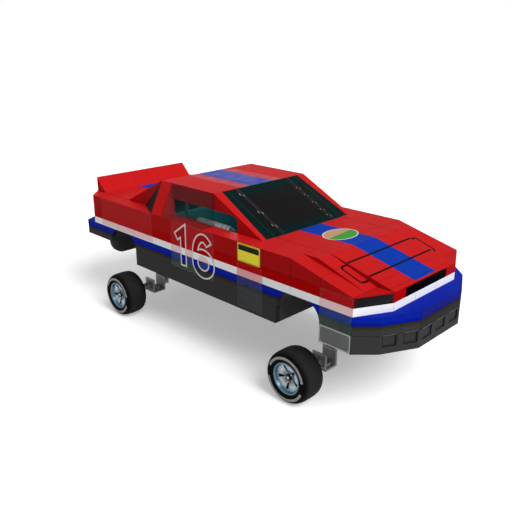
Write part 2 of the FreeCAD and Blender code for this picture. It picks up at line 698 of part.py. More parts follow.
def make_glass():
    """Windscreen and rear window: sheets across the car, with their sides cut to the pillars."""
    screen = new_body("windscreen")
    pad(screen, "XZ_Plane", "pane", slope_outline(WINDSCREEN_HEAD, "cowl_station", "glass_skin", SCREEN_SLOPE),
        f"-{FOOT_HALF}", f"2 * {FOOT_HALF}")
    past_head = f"{WINDSCREEN_HEAD} - cut_margin"
    for side in ("-", ""):
        outside = f"{side}({FOOT_HALF} + cut_margin)"
        edge = [(WINDSCREEN_HEAD, f"{side}{HEAD_HALF}"), ("cowl_station", f"{side}{FOOT_HALF}"),
                ("cowl_station", outside), (past_head, outside), (past_head, f"{side}{HEAD_HALF}")]
        pocket(screen, "XY_Plane", "edge_R" if side else "edge_L", edge, ABOVE_BELT, CABIN_CUT)
    rear = new_body("rear_window")
    pad(rear, "XZ_Plane", "pane", slope_outline(ROOF_REAR, FASTBACK_FOOT, "glass_skin", FASTBACK_SLOPE),
        f"-{HALF_CABIN}", f"2 * {HALF_CABIN}")
    keep = rear_window_plan()
    head, foot = keep[0][0], keep[2][0]
    for name, low, high in (("head_edge", head, f"{ROOF_REAR} + cut_margin"),
                            ("foot_edge", f"{FASTBACK_FOOT} - cut_margin", foot)):
        pocket(rear, "XY_Plane", name, box_outline(low, high, f"-{HALF_BODY}", HALF_BODY), ABOVE_BELT, CABIN_CUT)
    for side in ("-", ""):
        edge = [(head, f"{side}{HEAD_HALF}"), (foot, f"{side}{FOOT_HALF}"),
                (foot, f"{side}{HALF_BODY}"), (head, f"{side}{HALF_BODY}")]
        pocket(rear, "XY_Plane", "edge_R" if side else "edge_L", edge, ABOVE_BELT, CABIN_CUT)


def make_side_glass():
    """A pane that leans from the roof's edge out to the body side, closed by a triangle at its front."""
    body = new_body("side_glass")
    pane = [(f"-{HALF_BODY}", BELT), (f"-{HALF_CABIN}", ROOF_TOP),
            (f"-{HALF_CABIN}", f"{ROOF_TOP} - glass_skin * cabin_rise / shoulder_ledge"),
            (f"-{HALF_BODY} + glass_skin", BELT)]
    rear = f"{ROOF_REAR} + pillar_width"
    pad(body, "YZ_Plane", "pane", pane, rear, f"{WINDSCREEN_HEAD} - ({rear})")
    cap = [(f"-{HALF_BODY}", BELT), (f"-{HALF_CABIN}", ROOF_TOP), (f"-{HALF_CABIN}", BELT)]
    pad(body, "YZ_Plane", "cap", cap, f"{WINDSCREEN_HEAD} - glass_skin", "glass_skin")
    both_sides("side_glass")


def make_quarter_glass():
    """A black three-cornered pane behind each C-pillar. It is cut from a sheet that leans two ways."""
    top = value(ROOF_TOP)
    belt = value(BELT)
    inner = value(f"-{HALF_CABIN}")
    outer = value(f"-{HALF_BODY}")
    front = value(ROOF_REAR)
    tip = FreeCAD.Vector(value(f"{ROOF_REAR} - quarter_glass_run"), inner, belt)
    corner = FreeCAD.Vector(front, outer, belt)
    head = FreeCAD.Vector(front, inner, top)
    face = Part.Face(Part.makePolygon([tip, corner, head, tip]))
    normal = (corner - tip).cross(head - tip).normalize()
    if normal.y < 0:
        normal = normal * -1
    sheet_solid = face.extrude(normal * value("glass_skin"))
    room = Part.makeBox(front - tip.x, inner - outer, top - belt, FreeCAD.Vector(tip.x, outer, belt))
    right = sheet_solid.common(room).Solids[0]
    left = right.mirror(FreeCAD.Vector(0, 0, 0), FreeCAD.Vector(0, 1, 0))
    feature = doc.addObject("Part::Feature", "quarter_glass")
    feature.Label = "quarter_glass"
    feature.Shape = Part.makeCompound([right, left])
    feature.Placement = FreeCAD.Placement()
    pieces["quarter_glass"] = feature


def make_bonnet():
    """The bonnet, with a rolled rear edge that turns on a pin at each side."""
    body = new_body("bonnet")
    rear = "cowl_station + shut_gap + panel_skin / 2"
    axis_height = f"{BELT} - panel_skin / 2"
    front = f"{NOSE_FACE} - bumper_wall - shut_gap"
    front_top = f"{NOSE_TOP} + (bumper_wall + shut_gap) * {BONNET_FALL}"
    half = f"({HALF_BONNET} - shut_gap)"
    skin = [(rear, BELT, rear, axis_height, 1), (rear, LEDGE_UNDER), (BONNET_BEND, LEDGE_UNDER),
            (front, f"{front_top} - panel_skin"), (front, front_top), (BONNET_BEND, BELT)]
    pad(body, "XZ_Plane", "skin", skin, f"-{half}", f"2 * {half}")
    skirt = [(f"{rear} + panel_skin", LEDGE_UNDER), (f"{rear} + panel_skin", f"{BELT} - lid_skirt_depth"),
             (BONNET_BEND, f"{BELT} - lid_skirt_depth"), (front, f"{front_top} - lid_skirt_depth"),
             (front, f"{front_top} - panel_skin"), (BONNET_BEND, LEDGE_UNDER)]
    pad(body, "XZ_Plane", "skirt_R", skirt, f"{half} - lid_skirt_width", "lid_skirt_width")
    pad(body, "XZ_Plane", "skirt_L", skirt, f"-{half}", "lid_skirt_width")
    bore_for_pins(body, rear, axis_height, half)


def bore_for_pins(body, x, z, half):
    """A blind bore in each end of a lid's rolled edge, a little deeper than its pin reaches."""
    bore = "pin_radius + bearing_clearance"
    depth = "pin_length - shut_gap + end_clearance"
    pocket_circle(body, "XZ_Plane", "bore_R", x, z, bore, f"{half} - ({depth})", f"{depth} + end_clearance")
    pocket_circle(body, "XZ_Plane", "bore_L", x, z, bore, f"-{half} - end_clearance", f"{depth} + end_clearance")


def make_boot_lid():
    body = new_body("boot_lid")
    front = f"{FASTBACK_FOOT} - shut_gap - panel_skin / 2"
    axis_height = f"{BELT} - panel_skin / 2"
    half = f"({HALF_CABIN} - shut_gap)"
    skin = [(front, LEDGE_UNDER, front, axis_height, 1), (front, BELT), (DECK_END, BELT), (DECK_END, LEDGE_UNDER)]
    pad(body, "XZ_Plane", "skin", skin, f"-{half}", f"2 * {half}")
    bore_for_pins(body, front, axis_height, half)
    spoiler = new_body("spoiler")
    wedge = [(DECK_END, BELT), (f"{DECK_END} + spoiler_run", BELT), (DECK_END, f"{BELT} + spoiler_height")]
    pad(spoiler, "XZ_Plane", "wedge", wedge, f"-{half}", f"2 * {half}")


def make_engine_block():
    """The engine with its sump, as one plain block that stands clear of the wheelhouse."""
    body = new_body("engine_block")
    rear = "cowl_station + engine_gap"
    sump_front = f"{FRONT_AXLE} - {ARCH_HALF} - house_skin - sump_gap"
    sump_low = f"{FLOOR_TOP} - floor_skin + sump_rise"
    step = f"{ARCH_TOP} + house_skin"
    side = [(rear, sump_low), (sump_front, sump_low), (sump_front, step), (f"{rear} + engine_length", step),
            (f"{rear} + engine_length", f"{ARCH_TOP} + engine_rise"), (rear, f"{ARCH_TOP} + engine_rise")]
    pad(body, "XZ_Plane", "block", side, "-engine_width / 2", "engine_width")


def make_dashboard():
    body = new_body("dashboard")
    plate = "cowl_station - bulkhead_skin"
    side = [(DASH_REAR, DASH_LOW), (f"{DASH_REAR} + dash_height * tan(column_tilt * 1deg)", LEDGE_UNDER),
            (plate, LEDGE_UNDER), (plate, DASH_LOW)]
    pad(body, "XZ_Plane", "dash", side, f"-{INNER_SIDE}", f"2 * {INNER_SIDE}")


def place_on_column(body):
    """Stand a piece's own Z axis on the sloping face of the dashboard, in front of the driver."""
    tilt = value("column_tilt")
    body.Placement = FreeCAD.Placement(FreeCAD.Vector(), FreeCAD.Rotation(FreeCAD.Vector(0, 1, 0), tilt - 90))
    reach = f"({COLUMN_HEIGHT} - {DASH_LOW}) * tan(column_tilt * 1deg)"
    body.setExpression("Placement.Base.x", dims(f"{DASH_REAR} + {reach}"))
    body.setExpression("Placement.Base.y", dims(DRIVER))
    body.setExpression("Placement.Base.z", dims(COLUMN_HEIGHT))


def regular_outline(x, y, radius, corners, phase):
    """A polygon with equal sides, whose first corner stands at the angle phase."""
    points = []
    for index in range(corners):
        turn = phase + 360 * index / corners
        points.append((f"{x} + {radius} * cos({turn}deg)", f"{y} + {radius} * sin({turn}deg)"))
    return points


def make_steering():
    """A square column housing with a bored shaft seat, and a three-spoked wheel that turns in it."""
    column = new_body("steering_column")
    pad(column, "XY_Plane", "housing", box_outline("-column_half", "column_half", "-column_half", "column_half"),
        "0", "column_length")
    pocket_circle(column, "XY_Plane", "bore", "0", "0", "shaft_radius + bearing_clearance", "column_base",
                  "column_length")
    place_on_column(column)
    wheel = new_body("steering_wheel")
    pad_circle(wheel, "XY_Plane", "shaft", "0", "0", "shaft_radius", "column_base + end_clearance",
               "column_length - column_base")
    pad(wheel, "XY_Plane", "boss", regular_outline("0", "0", "column_half", 6, 0), "column_length + seat_clearance",
        "2 * steering_grip")
    lift = "column_length + seat_clearance + steering_grip"
    for index, turn in enumerate((90, 210, 330)):
        x = f"steering_radius * cos({turn}deg)"
        y = f"steering_radius * sin({turn}deg)"
        side_x = f"steering_grip * sin({turn}deg)"
        side_y = f"steering_grip * cos({turn}deg)"
        spoke = [(f"{side_x}", f"-{side_y}"), (f"{x} + {side_x}", f"{y} - {side_y}"),
                 (f"{x} - {side_x}", f"{y} + {side_y}"), (f"-{side_x}", f"{side_y}")]
        pad(wheel, "XY_Plane", f"spoke_{index}", spoke, f"{lift} - spoke_skin / 2", "spoke_skin")
    ring = add_sketch(wheel, "XZ_Plane", "ring_sketch")
    add_outline(ring, regular_outline("steering_radius", lift, "steering_grip", 6, 0))
    turned = wheel.newObject("PartDesign::Revolution", "ring")
    turned.Profile = ring
    turned.ReferenceAxis = (ring, ["V_Axis"])
    turned.Angle = 360
    place_on_column(wheel)


def make_driver_seat():
    """A bucket seat: a cushion and a leaning back, with a bolster wing on each side."""
    body = new_body("driver_seat")
    cushion = f"{FLOOR_TOP} + seat_rise"
    top = f"{cushion} + seat_back_rise"
    heel = f"{SEAT_BACK} + seat_skin"
    fold = "seat_station - seat_depth"
    toe = "seat_station - seat_toe"
    shell = [(heel, FLOOR_TOP), (toe, FLOOR_TOP), ("seat_station", cushion), (fold, f"{cushion} - seat_dip"),
             (f"{fold} - seat_lean", top), (SEAT_BACK, top)]
    pad(body, "XZ_Plane", "shell", shell, f"-{DRIVER} - seat_width / 2", "seat_width")
    wing = [(heel, FLOOR_TOP), (toe, FLOOR_TOP), (toe, f"{cushion} + bolster_rise"),
            (f"{fold} + bolster_turn", f"{cushion} + bolster_rise"),
            (f"{fold} - bolster_turn", f"{cushion} + bolster_rise + bolster_turn"),
            (f"{fold} - bolster_turn", f"{cushion} + bolster_shoulder"), (f"{fold} - seat_lean", top),
            (SEAT_BACK, top)]
    pad(body, "XZ_Plane", "wing_L", wing, f"-{DRIVER} - seat_width / 2", "bolster_skin")
    pad(body, "XZ_Plane", "wing_R", wing, f"-{DRIVER} + seat_width / 2 - bolster_skin", "bolster_skin")


def add_run(sketch, points):
    """An open run of straight lines from point to point."""
    spots = [FreeCAD.Vector(value(x), value(y), 0) for x, y in points]
    for index in range(len(spots) - 1):
        sketch.addGeometry(Part.LineSegment(spots[index], spots[index + 1]), False)
        if index:
            sketch.addConstraint(Sketcher.Constraint("Coincident", index - 1, 2, index, 1))
    for index in range(len(spots) - 1):
        fix(sketch, "DistanceX", index, 1, points[index][0])
        fix(sketch, "DistanceY", index, 1, points[index][1])
    fix(sketch, "DistanceX", len(spots) - 2, 2, points[-1][0])
    fix(sketch, "DistanceY", len(spots) - 2, 2, points[-1][1])


def free_sketch(name, rotation, axis, station):
    """A sketch of its own on a turned plane that crosses one of the car's axes at a station."""
    sketch = doc.addObject("Sketcher::SketchObject", name)
    sketch.Placement = FreeCAD.Placement(FreeCAD.Vector(), rotation)
    sketch.setExpression(f"Placement.Base.{axis}", dims(station))
    return sketch


def sweep_tube(name, path, foot_x, foot_y):
    """An eight-sided tube along a run that starts upright from the floor, with mitred corners."""
    section = free_sketch(name + "_section", FreeCAD.Rotation(), "z", FLOOR_TOP)
    add_outline(section, regular_outline(foot_x, foot_y, "cage_radius", 8, 22.5))
    doc.recompute()
    tube = doc.addObject("Part::Sweep", name)
    tube.Sections = [section]
    tube.Spine = (path, [])
    tube.Solid = True
    tube.Frenet = False
    tube.Transition = "Right corner"
    return tube


def make_roll_cage():
    """The main hoop behind the driver and a side bar along each window, with its own front leg."""
    across = FreeCAD.Rotation(FreeCAD.Vector(1, 1, 1), 120)
    along = FreeCAD.Rotation(FreeCAD.Vector(1, 0, 0), 90)
    station = f"({SEAT_BACK} - hoop_gap)"
    top = f"{ROOF_TOP} - roof_skin - hoop_drop"
    ease = "hoop_bend * (1 - cos(45deg))"
    half_hoop = [(CAGE_HALF, FLOOR_TOP), (CAGE_HALF, f"{top} - hoop_bend"),
                 (f"{CAGE_HALF} - {ease}", f"{top} - {ease}"), (f"{CAGE_HALF} - hoop_bend", top)]
    other_half = [(f"-({x})", z) for x, z in reversed(half_hoop)]
    path = free_sketch("hoop_path", across, "x", station)
    add_run(path, [(f"-({x})", z) for x, z in half_hoop] + [(f"-({x})", z) for x, z in other_half])
    hoop = sweep_tube("hoop", path, station, f"-{CAGE_HALF}")
    leg = f"({DASH_REAR} - cage_radius - cage_clear)"
    bar_height = f"{BELT} - side_bar_drop"
    path = free_sketch("side_bar_path", along, "y", f"-{CAGE_HALF}")
    add_run(path, [(leg, FLOOR_TOP), (leg, bar_height), (station, bar_height)])
    bar = sweep_tube("side_bar_R", path, leg, f"-{CAGE_HALF}")
    other_bar = doc.addObject("Part::Mirroring", "side_bar_L")
    other_bar.Source = bar
    other_bar.Normal = FreeCAD.Vector(0, 1, 0)
    cage = doc.addObject("Part::MultiFuse", "roll_cage")
    cage.Label = "roll_cage"
    cage.Shapes = [hoop, bar, other_bar]
    pieces["roll_cage"] = cage


def make_brackets(name, axle, steered):
    """A leg plate hangs from the wheelhouse roof and carries an open box for the wheel's upright."""
    body = new_body(name)
    rear = f"{axle} - bracket_length / 2"
    front = f"{axle} + bracket_length / 2"
    leg = box_outline("-leg_station - plate_skin", "-leg_station + leg_width", "bracket_bottom", ARCH_TOP)
    pad(body, "YZ_Plane", "leg", leg, rear, "plate_skin")
    pad(body, "XZ_Plane", "inner_plate",
        box_outline(rear, front, "bracket_bottom", "bracket_bottom + outer_plate_height"), "leg_station", "plate_skin")
    pad(body, "XY_Plane", "foot", box_outline(rear, front, "-leg_station - bracket_width", "-leg_station"),
        "bracket_bottom", "plate_skin")
    if steered:
        pad_circle(body, "XY_Plane", "kingpin", axle, f"-{KINGPIN}", "kingpin_radius", "bracket_bottom",
                   "plate_skin + kingpin_height")
    else:
        pad_circle(body, "XY_Plane", "pivot_disc", axle, f"-{KINGPIN}", "pivot_radius", "bracket_bottom",
                   "plate_skin + pivot_height")
        add_outer_plate(body, axle, "bracket_bottom")
    both_sides(name)


def add_outer_plate(body, axle, low):
    """The plate that carries the spindle, with a raised border round its outer face."""
    high = "bracket_bottom + outer_plate_height"
    rear = f"{axle} - bracket_length / 2"
    front = f"{axle} + bracket_length / 2"
    pad(body, "XZ_Plane", "outer_plate", box_outline(rear, front, low, high), OUTER_PLATE, "plate_skin")
    field = box_outline(f"{rear} + plate_border", f"{front} - plate_border", f"{low} + plate_border",
                        f"{high} - plate_border")
    pocket(body, "XZ_Plane", "plate_field", field, f"{OUTER_PLATE} + plate_skin - plate_recess",
           "plate_recess + cut_margin")
    pad_circle(body, "XZ_Plane", "spindle", axle, "tyre_radius", "spindle_radius", OUTER_PLATE,
               f"track / 2 + spindle_past - {OUTER_PLATE}")


def make_knuckle():
    """The front upright: a disc on the kingpin, a web, the outer plate and its spindle."""
    body = new_body("knuckle_R")
    pad_circle(body, "XY_Plane", "pivot_disc", FRONT_AXLE, f"-{KINGPIN}", "pivot_radius",
               f"{FOOT_PLATE_TOP} + seat_clearance", "pivot_height - seat_clearance")
    web = box_outline(f"{FRONT_AXLE} - web_width / 2", f"{FRONT_AXLE} + web_width / 2",
                      f"{FOOT_PLATE_TOP} + steer_gap", f"{FOOT_PLATE_TOP} + pivot_height")
    pad(body, "XZ_Plane", "web", web, KINGPIN, "bracket_width / 2 - plate_recess")
    add_outer_plate(body, FRONT_AXLE, f"{FOOT_PLATE_TOP} + steer_gap")
    pocket_circle(body, "XY_Plane", "kingpin_bore", FRONT_AXLE, f"-{KINGPIN}",
                  "kingpin_radius + bearing_clearance", FOOT_PLATE_TOP, "kingpin_height + end_clearance")
    mirror_left("knuckle_R", "knuckle_L")


def revolve(body, points):
    """Turn an outline about the wheel's axle, which is the piece's own Y axis."""
    sketch = add_sketch(body, "YZ_Plane", "section")
    add_outline(sketch, points)
    turned = body.newObject("PartDesign::Revolution", "turned")
    turned.Profile = sketch
    turned.ReferenceAxis = (sketch, ["H_Axis"])
    turned.Angle = 360


def tyre_section():
    """The slick's section: a flat tread, two slanted bands at each shoulder and a slanted sidewall."""
    wide = "tyre_width / 2"
    seat = "rim_width / 2"
    bore = "rim_radius + seat_clearance"
    near_side = [(seat, bore), (wide, "tyre_radius - sidewall_drop"),
                 (f"{wide} - shoulder_step", "tyre_radius - shoulder_drop"),
                 (f"{wide} - tread_step", "tyre_radius")]
    return near_side + [(f"-({y})", radius) for y, radius in reversed(near_side)]


def rim_section():
    """Half of the rim's section, with the street side at -Y."""
    seat = "rim_width / 2 + seat_clearance"
    top = "rim_radius + flange_height"
    inner = "rim_radius - rim_skin"
    dish = f"({RIM_EDGE} - dish_depth)"
    bore = "spindle_radius + bearing_clearance"
    bore_end = "(spindle_past + end_clearance)"
    return [(f"-{RIM_EDGE}", top), (f"-({seat})", "rim_radius"), (seat, "rim_radius"), (RIM_EDGE, top),
            (RIM_EDGE, inner), (f"-({dish} - disc_skin)", inner), (f"-({HUB_FACE} - disc_skin)", "hub_radius"),
            ("hub_reach", "hub_radius"), ("hub_reach", bore), (f"-{bore_end}", bore), (f"-{bore_end}", "0"),
            (f"-{HUB_FACE}", "0"), (f"-{HUB_FACE}", "hub_radius"), (f"-{dish}", "rim_radius - dish_inset"),
            (f"-{RIM_EDGE}", "rim_radius - lip_drop")]


def finish_rim(body):
    """Cut the slots that leave broad spokes between them, and set the centre nut on the hub."""
    root = "hub_radius + slot_gap"
    tip = "rim_radius - slot_margin"
    slot = [("-slot_root_width / 2", root), ("slot_root_width / 2", root), ("slot_tip_width / 2", tip),
            ("-slot_tip_width / 2", tip)]
    sketch = add_sketch(body, "XZ_Plane", "slot_sketch", f"{HUB_FACE} - 2 * disc_skin",
                        (FreeCAD.Vector(0, 0, 1), "slot_phase"))
    add_outline(sketch, slot)
    cut = sink_sketch(body, sketch, "slot", "dish_depth + hub_dish + disc_skin")
    spokes = body.newObject("PartDesign::PolarPattern", "spokes")
    spokes.Originals = [cut]
    spokes.Axis = (sketch, ["N_Axis"])
    spokes.Angle = 360
    spokes.setExpression("Occurrences", dims("slot_count"))
    body.Tip = spokes
    body.Tip = pad(body, "XZ_Plane", "centre_nut", regular_outline("0", "0", "nut_radius", 6, 0),
                   f"{HUB_FACE} - end_clearance", "nut_height + end_clearance")


def make_wheels():
    for end, axle in (("F", FRONT_AXLE), ("R", REAR_AXLE)):
        for hand, side, turn in (("R", "-", 0), ("L", "", 180)):
            tyre = new_body(f"tyre_{end}{hand}")
            revolve(tyre, tyre_section())
            rim = new_body(f"rim_{end}{hand}")
            revolve(rim, rim_section())
            finish_rim(rim)
            for body in (tyre, rim):
                body.Placement = FreeCAD.Placement(FreeCAD.Vector(), FreeCAD.Rotation(FreeCAD.Vector(0, 0, 1), turn))
                body.setExpression("Placement.Base.x", dims(axle))
                body.setExpression("Placement.Base.y", dims(f"{side}track / 2"))
                body.setExpression("Placement.Base.z", dims("tyre_radius"))


make_floor_pan()
make_wheelhouses()
make_sills()
make_front_fender()
make_door_panel()
make_rear_quarter()
make_nose_panel()
make_front_bumper()
make_rear_bumper()
make_tail_panel()
make_firewall()
make_rear_bulkhead()
make_roof()
make_a_pillar()
make_c_pillar()
make_fastback()
make_glass()
make_side_glass()
make_quarter_glass()
make_bonnet()
make_boot_lid()
make_engine_block()
make_dashboard()
make_steering()
make_driver_seat()
make_roll_cage()
make_brackets("brackets_front", FRONT_AXLE, True)
make_brackets("brackets_rear", REAR_AXLE, False)
make_knuckle()
make_wheels()

doc.recompute()
faults = []
for item in doc.Objects:
    if "Invalid" in item.State or "Error" in item.State:
        faults.append(f"{item.Name}: {item.State}")
for name, piece in pieces.items():
    if piece.Shape.isNull() or not piece.Shape.isValid():
        faults.append(f"{name}: bad shape")
if faults:
    raise RuntimeError("; ".join(faults))

os.makedirs("parts", exist_ok=True)
for name, piece in pieces.items():
    piece.Shape.exportStep(f"parts/{name}.step")
    shape = piece.Shape
    box = shape.BoundBox
    print(f"{name:18s} solids {len(shape.Solids)} volume {shape.Volume / 1e6:9.3f} L "
          f"x {box.XMin:8.1f} {box.XMax:8.1f} y {box.YMin:8.1f} {box.YMax:8.1f} z {box.ZMin:7.1f} {box.ZMax:7.1f}")
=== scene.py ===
# %% [markdown]
# # The looks of a stock car, cell by cell
# A flat-sided racing saloon stands high on four wide slick tyres. Its body is folded sheet painted in bands.
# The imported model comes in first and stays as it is: each cell after it dresses a piece or adds a finer one.
# Everything is in metres, in the car's own frame: +X to the nose, +Y to its left, +Z up.

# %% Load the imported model
import bmesh
import bpy
import math
from mathutils import Matrix, Vector, geometry, noise


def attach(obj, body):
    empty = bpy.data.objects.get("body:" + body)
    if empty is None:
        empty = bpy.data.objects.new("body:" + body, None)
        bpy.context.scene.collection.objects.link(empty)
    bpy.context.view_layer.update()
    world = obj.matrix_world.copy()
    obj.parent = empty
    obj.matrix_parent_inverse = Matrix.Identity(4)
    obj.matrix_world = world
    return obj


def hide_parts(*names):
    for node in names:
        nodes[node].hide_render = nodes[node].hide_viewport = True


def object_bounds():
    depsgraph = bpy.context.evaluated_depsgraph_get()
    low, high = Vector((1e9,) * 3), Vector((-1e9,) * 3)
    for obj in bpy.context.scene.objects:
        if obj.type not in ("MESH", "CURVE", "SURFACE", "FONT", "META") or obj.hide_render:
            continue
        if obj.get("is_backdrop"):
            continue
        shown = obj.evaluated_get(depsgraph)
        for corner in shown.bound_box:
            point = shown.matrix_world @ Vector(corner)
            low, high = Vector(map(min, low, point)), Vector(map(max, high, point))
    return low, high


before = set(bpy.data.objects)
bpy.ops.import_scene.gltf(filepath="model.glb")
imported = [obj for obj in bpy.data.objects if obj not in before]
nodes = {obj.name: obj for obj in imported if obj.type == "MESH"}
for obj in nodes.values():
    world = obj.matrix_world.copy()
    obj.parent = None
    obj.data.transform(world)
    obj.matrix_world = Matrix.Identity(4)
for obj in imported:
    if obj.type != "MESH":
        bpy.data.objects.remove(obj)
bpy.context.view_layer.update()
scene = bpy.context.scene
scene.view_settings.view_transform = "Standard"

# %% [markdown]
# ## The car's stations
# The body follows a square grid, one panel to a square, so most places on it are counted in squares. A named
# station keeps a decal or a strip on its panel, where a bare number would hide what it belongs to.

# %% Name the stations
SQUARE = 0.380
WAIST = 1.140
NOSE_TOP = 1.330
BELT = 1.520
ROOF = 1.900
SIDE = 0.950
AXLE_X = 1.520
HALF_TRACK = 0.958
AXLE_Z = 0.285
SIDES = (("R", -1), ("L", 1))
AHEAD = (1, 0, 0)
LEFT = (0, 1, 0)
UP = (0, 0, 1)


def grid(x, z):
    """A place on the side of the car, counted in squares from the rear of the side and from the floor."""
    return (x - 5.25) * SQUARE, (z + 2.5) * SQUARE


print("side runs from X", round(grid(0, 0)[0], 3), "to", round(grid(11, 0)[0], 3))

# %% [markdown]
# ## The camera
# The photograph was taken from the front right, a little above the roof. Its squares gave the camera's
# place. A camera looks along its own -Z axis, so a direction is turned into a rotation with `to_track_quat`.

# %% Place the camera
def add_object(name, data, location=(0, 0, 0)):
    """Links an object that holds this data."""
    item = bpy.data.objects.new(name, data)
    item.location = location
    scene.collection.objects.link(item)
    return item


camera_data = bpy.data.cameras.new("photo_camera")
camera_data.angle = math.radians(45)
camera = add_object("photo_camera", camera_data, (5.178, -5.178, 3.539))
aim = Vector((0, 0, 0.95)) - camera.location
camera.rotation_euler = aim.to_track_quat("-Z", "Y").to_euler()
scene.camera = camera
print("camera is", round(aim.length, 2), "m from the car's middle")

# %% [markdown]
# ## Two helpers for finishes
# Colours are written as they look on a screen, in sRGB, and Blender's sockets want them linear. A node is
# easier to read as one call that holds its settings and its links, so one function adds any node.

# %% Define the helpers
MM = 0.001


def linear(hex_colour):
    """The linear colour of an sRGB hex value."""
    channels = [int(hex_colour[i:i + 2], 16) / 255 for i in (1, 3, 5)]
    return (*(c / 12.92 if c <= 0.04045 else ((c + 0.055) / 1.055) ** 2.4 for c in channels), 1)


def add(tree, kind, sockets=None, **settings):
    """Adds a node. Each socket gets a value, or a link if it is given another node's output."""
    node = tree.nodes.new(kind)
    for name, setting in settings.items():
        setattr(node, name, setting)
    for name, value in (sockets or {}).items():
        if isinstance(value, bpy.types.NodeSocket):
            tree.links.new(value, node.inputs[name])
        else:
            node.inputs[name].default_value = value
    return node


print("white is", [round(c, 2) for c in linear("#ffffff")])

# %% [markdown]
# ## Light
# The photograph has an open white background, a bright top and front, and sides at about half that light. A
# soft sun from high in front gives the bright faces and a dim white sky gives the sides. A small lamp in the
# cabin shows what lies behind the tinted panes, as the even light of the photograph does. The sky reads as
# plain white to the camera, in gloss and through glass, and stays dim for all other rays.

# %% Light the scene
SKY_LEVEL = 0.40


def either(tree, first, *others):
    """1 where any of the masks is 1."""
    for mask in others:
        first = add(tree, "ShaderNodeMath", {0: first, 1: mask}, operation="MAXIMUM").outputs[0]
    return first


def seen_directly(tree):
    """1 for rays that come from the camera, from gloss or through glass, and 0 for the rest."""
    rays = add(tree, "ShaderNodeLightPath").outputs
    return either(tree, rays["Is Camera Ray"], rays["Is Glossy Ray"], rays["Is Transmission Ray"])


world = bpy.data.worlds.new("studio_sky")
world.use_nodes = True
scene.world = world
sky = world.node_tree
level = add(sky, "ShaderNodeMapRange", {"Value": seen_directly(sky), "To Min": SKY_LEVEL, "To Max": 1.0})
sky.links.new(level.outputs[0], sky.nodes["Background"].inputs["Strength"])
sky.nodes["Background"].inputs["Color"].default_value = linear("#ffffff")

sun_data = bpy.data.lights.new("soft_sun", "SUN")
sun_data.energy = 2.4
sun_data.angle = math.radians(35)
sun = add_object("soft_sun", sun_data)
sun.rotation_euler = Vector((-0.70, 0.06, -0.71)).to_track_quat("-Z", "Y").to_euler()

lamp_data = bpy.data.lights.new("cabin_lamp", "POINT")
lamp_data.energy = 5
lamp_data.shadow_soft_size = 0.12
add_object("cabin_lamp", lamp_data, (-0.10, -0.20, 1.62))
print("sun", sun_data.energy, "sky", SKY_LEVEL)

# %% [markdown]
# ## Common parts of a finish
# Real surfaces are never one number. Each finish starts from a plain shader and then gets three small
# changes: its colour drifts over a real distance, its gloss is uneven, and it has a fine relief with a real
# depth.

# %% Start a finish
def start_finish(name, specular=0.5, metallic=0.0, sheen=0.0, alpha=1.0):
    """A new material with these values on its shader, and the place on the piece as a socket."""
    material = bpy.data.materials.new(name)
    material.use_nodes = True
    tree = material.node_tree
    shader = tree.nodes["Principled BSDF"]
    shader.inputs["Specular IOR Level"].default_value = specular
    shader.inputs["Metallic"].default_value = metallic
    shader.inputs["Sheen Weight"].default_value = sheen
    shader.inputs["Alpha"].default_value = alpha
    place = add(tree, "ShaderNodeTexCoord").outputs["Object"]
    return material, tree, shader, place


def cloud(tree, place, size_mm, detail=3):
    """Soft noise whose lumps are about size_mm across."""
    sockets = {"Vector": place, "Scale": 1 / (size_mm * MM), "Detail": detail}
    return add(tree, "ShaderNodeTexNoise", sockets).outputs[0]


def over(tree, mask, under, colour):
    """The colour under, with another painted over it where the mask is 1."""
    under, colour = (linear(tone) if isinstance(tone, str) else tone for tone in (under, colour))
    return add(tree, "ShaderNodeMix", {0: mask, 6: under, 7: colour}, data_type="RGBA").outputs[2]


def uneven_gloss(tree, shader, amount, low, high):
    """Roughness that drifts between two values."""
    spread = add(tree, "ShaderNodeMapRange", {"Value": amount, "To Min": low, "To Max": high})
    tree.links.new(spread.outputs[0], shader.inputs["Roughness"])


def relief(tree, shader, height, depth_mm):
    """Adds to the surface a relief of this depth, over any that is there."""
    bump = add(tree, "ShaderNodeBump", {"Height": height, "Distance": depth_mm * MM})
    if shader.inputs["Normal"].is_linked:
        tree.links.new(shader.inputs["Normal"].links[0].from_socket, bump.inputs["Normal"])
    tree.links.new(bump.outputs[0], shader.inputs["Normal"])


def simple_finish(name, first, second, drift_mm, grain_mm, depth_mm, gloss, **values):
    """A finish with one drift of tone, one grain and one spread of gloss."""
    material, tree, shader, place = start_finish(name, **values)
    tone = over(tree, cloud(tree, place, drift_mm), first, second)
    tree.links.new(tone, shader.inputs["Base Color"])
    grain = cloud(tree, place, grain_mm)
    uneven_gloss(tree, shader, grain, *gloss)
    relief(tree, shader, grain, depth_mm)
    return material


print("finish helpers ready")

# %% [markdown]
# ## Floor
# The floor is matt paint. It reads as plain white to the camera, and glows a little there, so that its white
# is full and the shadow stays soft. For all other rays it is grey, so that it throws little light up at the
# car.

